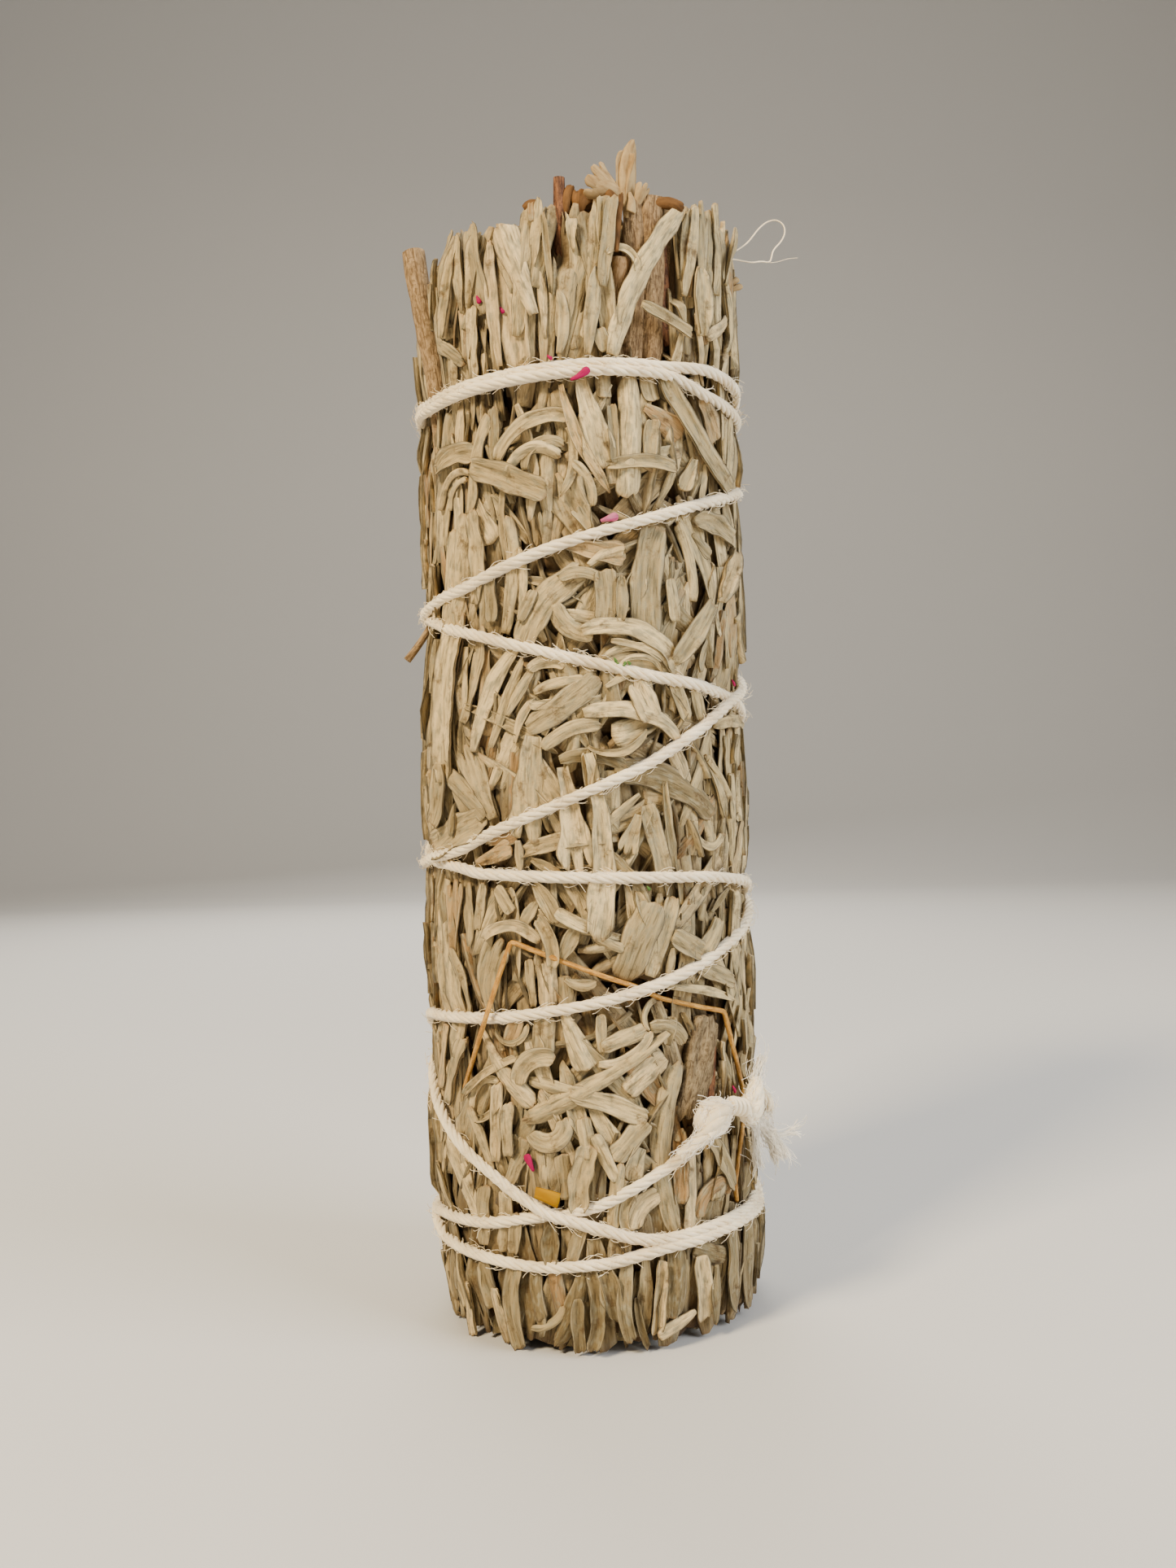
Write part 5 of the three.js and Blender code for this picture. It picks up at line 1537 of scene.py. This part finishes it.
def framesAlong(points, step):
    # evenly spaced points of a line, with the way out of the bundle and the way aside at each
    points = np.asarray(points, float)
    walked = np.concatenate(([0], np.cumsum(np.linalg.norm(np.diff(points, axis=0), axis=1))))
    even = np.linspace(0, walked[-1], max(3, round(walked[-1] / step) + 1))
    points = resampled(even, walked, points)
    ahead = unit(np.gradient(points, axis=0))
    outward = unit(points * (1, 1, 0) - (0, 0.01, 0))
    outward = unit(outward - (outward * ahead).sum(axis=1)[:, None] * ahead)
    return even, points, outward, np.cross(ahead, outward)


def spreadAlong(walked, stops):
    # a radius at each point, from a few that are evenly spaced
    return np.interp(walked / walked[-1], np.linspace(0, 1, len(stops)), stops)


def roundedLine(points, rounds=2):
    # the same line with its corners cut, a little more each round
    points = np.asarray(points, float)
    for turn in range(rounds):
        early = points[:-1] * 0.75 + points[1:] * 0.25
        late = points[:-1] * 0.25 + points[1:] * 0.75
        middle = np.stack((early, late), axis=1).reshape(-1, 3)
        points = np.concatenate((points[:1], middle, points[-1:]))
    return points


def routeSpots(route):
    return onBundle(*np.array(route, float).T)


def woodGrid(columns, rows):
    bm = bmesh.new()
    layer = bm.verts.layers.float_vector.new("twigPlace")
    bmesh.ops.create_grid(bm, x_segments=columns, y_segments=rows, size=1.0)
    return bm, layer, rng.uniform(0, 50)


rods = {
    "twig": {"sides": 16, "step": 0.5, "rough": 0.14},
    "stem": {"sides": 18, "step": 1.5, "rough": 0.1},
    "ridge": {"sides": 16, "step": 0.5, "rough": 0.2, "flat": 0.75},
    "straw": {"sides": 10, "step": 0.3, "rough": 0.16},
}


def makeRod(points, radii, sides, step, rough, flat=1.0):
    # a round stick: a sheet of faces rolled round a line, with cut ends
    walked, spots, outward, aside = framesAlong(points, step)
    rows = len(spots) - 1
    wide = spreadAlong(walked, radii)
    bm, layer, shift = woodGrid(sides, rows)
    for vert in bm.verts:
        row = round((vert.co.y + 1) / 2 * rows)
        turn = math.pi * (vert.co.x + 1)
        inward, sideways = -math.cos(turn), math.sin(turn)
        coarse = noise.noise((inward * 1.2 + shift, sideways * 1.2, walked[row] * 0.25))
        fine = noise.noise((inward * 4 + shift, sideways * 4, walked[row] * 0.5 + 9))
        reach = wide[row] * (1 + rough * (coarse + 0.7 * fine))
        vert.co = spots[row] + reach * (inward * flat * outward[row] + sideways * aside[row])
        vert[layer] = (walked[row] + shift, turn * wide[row], 0)
    bmesh.ops.remove_doubles(bm, verts=bm.verts, dist=0.0005)
    ends = bmesh.ops.holes_fill(bm, edges=[e for e in bm.edges if e.is_boundary], sides=0)["faces"]
    bmesh.ops.recalc_face_normals(bm, faces=bm.faces)
    for face in ends:
        bmesh.ops.inset_individual(bm, faces=[face], thickness=0.22 * min(radii), depth=-0.04)
        for vert in face.verts:
            vert[layer] = (vert.co.x * 3, vert.co.y * 3, 1)
        middle = bmesh.ops.poke(bm, faces=[face])["verts"][0]
        middle[layer] = (middle.co.x * 3, middle.co.y * 3, 2)
    return bm


def makeTwigs():
    for name, twig in twigs.items():
        bm = makeRod(roundedLine(routeSpots(twig["route"]), 1), twig["radii"], **rods["twig"])
        finishPiece(name + "_wood", bm, twig["bark"], name)


stems = {
    "points": 9,
    "sway": 0.1,
    "radii": (0.96, 0.92, 0.96),    # as shares of the CAD stem's
}


def makeStems():
    # the sprigs' own stems, where their CAD nodes are
    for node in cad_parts:
        if not node.endswith("_stem") or node == "top_bark_stem":
            continue
        low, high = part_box(node)
        middle = (low + high) / 2 / mm
        radius = min(high.x - low.x, high.y - low.y) / 2 / mm
        heights = np.linspace(low.z / mm, high.z / mm, stems["points"])
        sway = stems["sway"]
        line = [
            (middle.x + rng.uniform(-sway, sway), middle.y + rng.uniform(-sway, sway), height)
            for height in heights
        ]
        line[0] = (middle.x, middle.y, heights[0])
        bm = makeRod(line, [share * radius for share in stems["radii"]], **rods["stem"])
        finishPiece(node + "_wood", bm, "brownBark", node)


def makeStrip(spine, width, thickness, rough, columns=8):
    # a ragged strip of bark: ridged along its length, with torn ends
    walked, spots, outward, aside = framesAlong(roundedLine(routeSpots(spine)), 0.35)
    rows = len(spots) - 1
    bm, layer, shift = woodGrid(columns, rows)
    bmesh.ops.solidify(bm, geom=bm.faces[:], thickness=1.0)
    inner = min(v.co.z for v in bm.verts)
    for vert in bm.verts:
        row = round((vert.co.y + 1) / 2 * rows)
        across, sheet = vert.co.x, vert.co.z - inner
        torn = noise.noise((walked[row] * 0.45 + shift, across * 9, 3))
        half = width / 2 * (1 + 0.16 * noise.noise((walked[row] * 0.4, shift, 8 * round(across))))
        ridges = noise.noise((across * 3.2 + shift, walked[row] * 0.25, 0)) * rough * sheet
        atEnd = abs(vert.co.y) > 0.99
        slide = torn * 1.6 if atEnd else 0
        ahead = unit(spots[min(row + 1, rows)] - spots[max(row - 1, 0)])
        rise = (sheet - 1) * thickness - 0.25 * half * across ** 2 + ridges
        vert[layer] = (walked[row] + shift, across * half, 0.8 if atEnd and sheet < 0.5 else 0)
        vert.co = spots[row] + across * half * aside[row] + rise * outward[row] + slide * ahead
    bmesh.ops.recalc_face_normals(bm, faces=bm.faces)
    return bm


barkRidges = [      # each ridge from its foot to its top, and its radii
    {"route": [(21.5, 13.9, 88), (22.2, 14.4, 95), (22.6, 14.4, 103.3)], "radii": [0.9, 1.1, 1.0]},
    {"route": [(29.5, 14.0, 88), (29.0, 14.5, 95), (29.6, 14.6, 103.9)], "radii": [1.0, 1.25, 1.3]},
    {"route": [(35.0, 13.6, 93), (35.6, 13.9, 99), (36.0, 13.9, 104.3)], "radii": [0.7, 1.0, 1.15]},
]
barkStrips = {      # route, width, thickness, roughness and columns; material and the node it stands for
    "top_inner_bark": (
        ([(35.2, 14.7, 91.5), (34.2, 14.8, 96), (33.8, 14.8, 101.5)], 1.5, 0.5, 0.3, 4), "redBark", None,
    ),
    "lower_bark_wood": ((lanes["lowerBark"]["route"], 3.2, 0.9, 0.45, 8), "greyBark", "lower_bark_strip"),
    "lower_inner_bark": (
        ([(42.5, 15.5, 20.6), (44.0, 15.6, 23.4), (45.6, 15.5, 26.4)], 0.9, 0.3, 0.2, 4), "redBark", None,
    ),
}


def makeBark():
    ridges = [makeRod(routeSpots(ridge["route"]), ridge["radii"], **rods["ridge"]) for ridge in barkRidges]
    bm = joined([meshOf("ridge", ridge) for ridge in ridges])
    finishPiece("top_bark_wood", bm, "brownBark", "top_bark_stem")
    for name, (shape, material, node) in barkStrips.items():
        finishPiece(name, makeStrip(*shape), material, node)


def addBlade(bm, layers, kind, points, width, thickness=0.1, cup=0.3, facing=0, tone=0.5):
    # a thin dry blade along points in space: cup bends it across, and facing turns it about its length
    walked, spots, outward, aside = framesAlong(roundedLine(points), 0.15)
    across, along, sheet = leafTemplates[kind][1].T
    along = np.clip(along, 0, 1.06)
    turn = math.radians(facing)
    share = np.clip(along, 0, 1) * walked[-1]
    spots, outward, aside = (resampled(share, walked, rows) for rows in (spots, outward, aside))
    out = math.cos(turn) * outward + math.sin(turn) * aside
    side = math.cos(turn) * aside - math.sin(turn) * outward
    half = width / 2 * outlineAt(kind, along)
    rise = (sheet - 1) * thickness - cup * half * across ** 2
    place = spots + (across * half)[:, None] * side + rise[:, None] * out
    verts = addTemplate(bm, kind)
    for vert, point, u, w in zip(verts, place.tolist(), share.tolist(), (across * half).tolist()):
        vert.co = point
        vert[layers[0]] = (u, w, tone)
        vert[layers[1]] = (bundle["radius"], 0, 0)


# The husk, bracts and petals. Of each blade: its kind, the photo's pixels that it runs over, with the depth
# there if it isn't the husk's, or on the bundle's front the radius, then its width, thickness, cup, facing
# and tone.
huskPieces = {
    "papery_husk_blades": {"material": "paleHusk", "node": "papery_husk", "blades": {
        "tall": ("fine_slender", [(774, 268), (774, 228), (775, 200), (776, 190), (779, 171)],
                 1.9, 0.14, 0.4, 14, 0.3),
        "beside": ("fine_wedge", [(766, 256), (764, 232), (767, 208), (771, 186)],
                   1.7, 0.14, -0.6, -24, 0.5),
        "leftUpper": ("fine_lobed", [(766, 238), (753, 226, -14.6), (738, 213, -15.2), (728, 203, -15.4)],
                      3.0, 0.16, 0.35, 16, 0.9),
        "leftLower": ("fine_lobed", [(764, 240), (750, 232, -14.8), (734, 228, -15.2), (721, 220, -15.4)],
                      2.7, 0.16, 0.4, -16, 0.7),
        "hanging": ("fine_wedge", [(774, 236, -14.2), (778, 246, -14.4), (776, 260, -14.6)],
                    1.1, 0.14, 0.5, 0, 0.2),
        "right": ("fine_lobed", [(780, 262, -13.6), (786, 246), (791, 235, -14.2), (795, 225, -14.2)],
                  1.5, 0.14, 0.5, 10, 0.4),
    }},
    "amber_bracts": {"material": "amberBract", "blades": {
        "stalk": ("fine_strap", [(758, 308, -15.9), (759, 280, -15.8), (764, 236, -14.9)],
                  0.6, 0.3, 0.5, 0, 0.2),
        "onStalk": ("fine_wedge", [(765, 252, -14.6), (756, 240, -14.8), (748, 232, -14.8)],
                    1.1, 0.2, 0.6, 20, 0.5),
        "standing": ("fine_lobed", [(712, 262, -14.4), (713, 246, -14.8), (716, 232, -14.6)],
                     2.4, 0.3, 0.5, 6, 0.6),
        "narrow": ("fine_strap", [(697, 262, -14.6), (699, 240, -14.8), (705, 228, -14.6)],
                   0.9, 0.2, 0.6, 40, 0.1),
        "rimRight": (
            "fine_strap", [(803, 253, -13.5), (814, 248, -13.5), (828, 249, -13.3), (841, 255, -13.0)],
            1.05, 0.3, 0.4, 10, 0.4,
        ),
        "rimLeft": ("fine_strap", [(643, 256, -14.6), (651, 249, -14.8), (662, 251, -14.8)],
                    0.8, 0.3, 0.4, 10, 0.4),
        "rimMiddle": ("fine_strap", [(698, 250, -13.9), (712, 239, -14.0), (733, 243, -14.2)],
                      1.1, 0.3, 0.4, 10, 0.4),
        "rimFront": ("fine_strap", [(686, 270, -13.3), (706, 259, -13.4), (732, 257, -13.4)],
                     1.9, 0.3, 0.4, 10, 0.4),
    }},
    "edge_bracts": {"material": "paleHusk", "blades": {
        "upper": ("fine_wedge", [(888, 353, -4.6), (894, 345, -4.2), (898, 334, -3.9)], 0.9, 0.25, 0.5, 15),
        "middle": ("fine_wedge", [(889, 354, -4.4), (900, 351, -4), (909, 345, -3.7)], 0.7, 0.25, 0.5, 15),
        "lower": ("fine_wedge", [(890, 355, -4.6), (901, 356, -4.2), (913, 353, -3.8)], 0.6, 0.25, 0.5, 15),
    }},
}
greenCrumbs = {     # a pixel of the photo, and how far down its other end lies
    "first": (754, 808, 6), "second": (757, 814, 2), "third": (765, 817, -4), "fourth": (771, 812, 5),
    "lowest": (795, 1089, 5),
}
petalPieces = {
    "yellow_petal": {
        "material": "yellowPetal", "slot": "yellow_petal", "node": "yellow_petal_chip",
        "blades": {"petal": ("chip", [(657, 1466, 16.4), (672, 1471, 16.5), (687, 1477, 16.4)],
                             1.4, 0.16, 0.12, 4, 0.3)},
    },
    "lower_pink_petal": {
        "material": "pinkPetal", "slot": "pink_petal", "node": "lower_pink_chip",
        "blades": {"petal": ("wedge", [(655, 1440), (650, 1430, 16.4), (645, 1419)], 0.75, 0.12, 0.4)},
    },
    "upper_pink_petal": {
        "material": "paleRosePetal", "slot": "pink_petal", "node": "upper_pink_chip",
        "blades": {"petal": ("wedge", [(738, 640), (748, 637, 16.4), (760, 634)], 0.8, 0.12, 0.4, 10, 0.2)},
    },
    "pink_flakes": {"material": "pinkPetal", "slot": "pink_petal", "blades": {
        "onTopBand": ("wedge", [(701, 466, 17.05), (711, 462, 17.2), (724, 452, 17.0)], 0.75),
        "upperLeft": ("wedge", [(584, 363), (586, 368, 16.4), (588, 373)], 0.5),
        "upperLeftNext": ("wedge", [(613, 377), (616, 381, 16.4), (618, 385)], 0.4),
        "aboveBand": ("wedge", [(672, 436), (675, 439, 16.5), (679, 441)], 0.35),
        "middleRight": ("wedge", [(900, 835), (902, 838, 16.4), (904, 842)], 0.4),
        "lowRight": ("wedge", [(901, 1334), (903, 1338, 16.4), (905, 1342)], 0.4),
    }},
    "green_crumbs": {"material": "freshGreen", "slot": "sage_leaf", "blades": {
        name: ("wedge", [(u, v, 16.3), (u + 2, v + 2, 16.4), (u + 4, v + end, 16.3)], 0.3)
        for name, (u, v, end) in greenCrumbs.items()
    }},
}


def makeBlades(pieces, spotAt):
    for name, piece in pieces.items():
        bm = bmesh.new()
        layers = leafLayers(bm)
        for kind, pixels, *shape in piece["blades"].values():
            addBlade(bm, layers, kind, photoLine(pixels, spotAt), *shape)
        bmesh.ops.recalc_face_normals(bm, faces=bm.faces)
        finishPiece(name, bm, piece["material"], piece.get("node"))


def makeStraw():
    bm = makeRod(routeSpots(straw["route"]), [straw["radius"]], **rods["straw"])
    finishPiece("bent_straw_stalk", bm, "goldStraw", "bent_straw")


def twisted(walked, points, outward, aside, radii, pitch):
    # strands wound round a line, over a core, whose radii are the yarn's
    whole = cotton["strandOffset"] + cotton["strandRadius"]
    strands = [(points, radii / whole * cotton["coreShare"])]
    for strand in range(cotton["strands"]):
        turn = 2 * math.pi * (walked / pitch + strand / cotton["strands"])
        way = np.cos(turn)[:, None] * outward + np.sin(turn)[:, None] * aside
        strands.append((points + way * (radii * cotton["strandOffset"] / whole)[:, None], radii / whole))
    return strands


def fuzz(points, outward, aside, radii, count, reach):
    # fine curved hairs that stand off a yarn
    hairs = []
    for hair in range(count):
        k = rng.randrange(len(points))
        turn = rng.uniform(0, 2 * math.pi)
        way = math.cos(turn) * outward[k] + math.sin(turn) * aside[k]
        ahead = np.cross(outward[k], aside[k]) * rng.choice((-1, 1))
        curl = math.cos(turn + 1.6) * outward[k] + math.sin(turn + 1.6) * aside[k]
        length = reach * rng.uniform(0.3, 1.0) ** 2
        bend = rng.uniform(-0.8, 0.8)
        line = [
            points[k] + way * (0.85 * radii[k] + length * 0.55 * s) + ahead * length * (0.9 * s)
            + curl * length * bend * s * s - way * length * 0.35 * s ** 3
            for s in (0, 0.35, 0.7, 1.0)
        ]
        hairs.append((line, 1))
    return hairs


def knotFrames(pixels, radii, rounds, step):
    walked, *frames = framesAlong(roundedLine(photoLine(pixels), rounds), step)
    return walked, *frames, spreadAlong(walked, radii)


def frayedTail(pixels, radii, count, spread):
    # many loose fibres along one line, further apart and wavier towards its end
    walked, spots, outward, aside, wide = knotFrames(pixels, radii, 2, cotton["fibreStep"])
    fibres = []
    for fibre in range(count):
        turn = rng.uniform(0, 2 * math.pi)
        out = math.sqrt(rng.uniform(0, 1))
        last = max(4, int(rng.uniform(0.75, 1.0) * len(spots)))
        share = walked[:last] / walked[-1]
        wave = 0.12 * np.sin(walked[:last] * rng.uniform(1.5, 4.0) + rng.uniform(0, 6))
        reach = wide[:last] * out * (1 + spread * share ** 3)
        turns = turn + 0.5 * share + wave
        path = spots[:last] + (np.cos(turns) * reach)[:, None] * outward[:last]
        path = path + (np.sin(turns) * reach + wave * share)[:, None] * aside[:last]
        fibres.append((path, 1))
    return fibres


# The knot, by pixels of the photo and the depth at each, and the radii along them: a swollen loop, coils
# round its neck, and frayed tails
knotForms = {
    "comingIn": ([(836, 1421, -15.4), (852, 1408, -15.3), (868, 1393, -15.2)], [0.6, 0.62, 0.75]),
    "leftMass": ([(865, 1363, -14.2), (863, 1378, -14.6), (868, 1391, -14.6), (875, 1395, -14.4)],
                 [0.6, 0.88, 0.85, 0.55]),
    "leftTop": ([(862, 1361, -14.4), (870, 1359, -14.2), (880, 1358, -13.6), (892, 1359, -12.6)],
                [0.55, 0.72, 0.7, 0.5]),
    "brightFold": ([(868, 1394, -15.3), (878, 1378, -15.0), (886, 1366, -14.2), (896, 1359, -12.8)],
                   [0.75, 1.0, 0.95, 0.55]),
    "foldBelow": ([(872, 1394, -14.6), (884, 1384, -14.0), (895, 1370, -12.6)], [0.6, 0.85, 0.5]),
    "rightMass": ([(914, 1358, -10.8), (921, 1374, -10.4), (926, 1362, -10.2), (928, 1342, -9.6),
                   (930, 1325, -9.0)], [0.7, 0.95, 1.05, 0.9, 0.5]),
    "rightFill": ([(915, 1350, -10.4), (922, 1352, -10.2), (922, 1374, -10.2), (928, 1378, -9.8)],
                  [0.5, 0.7, 0.75, 0.5]),
    "rightLoop": ([(929, 1334, -9.4), (940, 1343, -8.8), (946, 1356, -8.4), (945, 1369, -8.4),
                   (934, 1378, -9.2)], [0.35, 0.42, 0.45, 0.42, 0.45]),
}
knotCoils = {
    "from": (896, 1358, -12.9),
    "to": (914, 1361, -11.2),
    "ringRadius": 0.62,
    "yarnRadius": 0.27,
    "turns": 3.5,
    "points": 60,
    "neck": 1.6,            # the radius of the neck inside them, in yarn radii
    "neckPast": 0.3,
}
knotTails = {       # and how many fibres, and how far they spread
    "upper": ([(928, 1334, -9.2), (930, 1318, -8.8), (934, 1305, -8.4), (938, 1293, -8.0)],
              [0.55, 0.36, 0.26, 0.36], 100, 1.0),
    "right": ([(931, 1376, -9.6), (944, 1388, -8.8), (953, 1406, -8.3), (963, 1428, -8.0)],
              [0.5, 0.6, 0.62, 0.8], 240, 0.4),
    "lower": ([(928, 1380, -9.8), (929, 1398, -9.8), (929, 1418, -9.8), (934, 1440, -9.6)],
              [0.4, 0.34, 0.3, 0.34], 110, 1.0),
    "thinUpper": ([(950, 1396, -8.4), (962, 1393, -8.2), (972, 1388, -8.0), (986, 1376, -7.8)],
                  [0.22, 0.12, 0.1, 0.25], 18, 1.6),
    "thinLower": ([(952, 1398, -8.4), (966, 1394, -8.2), (977, 1392, -8.0), (987, 1396, -7.8)],
                  [0.2, 0.12, 0.1, 0.25], 14, 1.6),
}


def coilTubes():
    start, end = (np.array(photoSpot(*knotCoils[key])) for key in ("from", "to"))
    share = np.linspace(0, 1, knotCoils["points"])
    turn = 2 * math.pi * knotCoils["turns"] * share
    ahead = unit(end - start)
    above = unit(np.cross(ahead, (0, 1, 0)))
    across = np.cross(ahead, above)
    ring = np.cos(turn)[:, None] * above + np.sin(turn)[:, None] * across
    coil = start + share[:, None] * (end - start) + knotCoils["ringRadius"] * ring
    past = knotCoils["neckPast"] * ahead
    return tubes([(coil, 1), ([start - past, end + past], knotCoils["neck"])], knotCoils["yarnRadius"], 2)


def makeKnot():
    plies = []
    fibres = []
    for pixels, radii in knotForms.values():
        walked, *frames = knotFrames(pixels, radii, 3, 0.2)
        plies += twisted(walked, *frames, cotton["knotPitch"])
        fibres += fuzz(*frames, cotton["knotHairs"], cotton["knotHairReach"])
    parts = [meshOf("part", bm) for bm in (tubes(plies, cotton["strandRadius"], 1), coilTubes())]
    finishPiece("cotton_knot", joined(parts), "cottonYarn", "cotton_string")
    for pixels, radii, count, spread in knotTails.values():
        fibres += frayedTail(pixels, radii, count, spread)
        frames = knotFrames(pixels, radii, 2, 0.25)[1:]
        fibres += fuzz(*frames, count // 2, cotton["tailHairReach"])
    finishPiece("cotton_knot_fibres", tubes(fibres, cotton["fibreRadius"], 0), "brushedCotton")


looseThread = {
    "radius": 0.075,
    "wispShare": 0.35,      # of that radius
    "curl": [
        (890, 312, -4.0), (903, 309, -3.0), (911, 304, -2.6), (919, 298, -2.2), (926, 289, -2.0),
        (933, 280, -1.8), (943, 272, -1.6), (954, 270, -1.4), (963, 276, -1.4), (965, 286, -1.6),
        (960, 297, -1.8), (950, 307, -2.0), (948, 316, -2.2), (946, 323, -2.2), (935, 321, -2.4),
        (925, 323, -2.6), (914, 321, -2.8), (904, 319, -3.2), (890, 318, -4.0),
    ],
    "wisp": [(946, 323, -2.2), (956, 322, -2.0), (967, 318, -1.8), (980, 317, -1.6)],
}


def makeString():
    walked, *frames = framesAlong(onBundle(stringTurns, stringRadii, stringHeights), 0.4)
    print("string length", round(walked[-1]), "mm")
    frames.append(np.full(len(walked), cotton["strandOffset"] + cotton["strandRadius"]))
    bm = tubes(twisted(walked, *frames, cotton["strandPitch"]), cotton["strandRadius"], 0)
    finishPiece("cotton_string_yarn", bm, "cottonYarn", "cotton_string")
    hairs = fuzz(*frames, cotton["hairs"], cotton["hairReach"])
    finishPiece("cotton_fuzz", tubes(hairs, cotton["hairRadius"], 0), "cottonYarn")
    curl, wisp = (roundedLine(photoLine(looseThread[key])) for key in ("curl", "wisp"))
    bm = tubes([(curl, 1), (wisp, looseThread["wispShare"])], looseThread["radius"], 1)
    finishPiece("loose_cotton_thread", bm, "cottonYarn", "loose_thread")


makeCamera()
makeStage()
makeLights()
makeFoliage()
makeTwigs()
makeStems()
makeBark()
makeBlades(huskPieces, photoSpot)
makeBlades(petalPieces, frontSpot)
makeStraw()
makeString()
makeKnot()
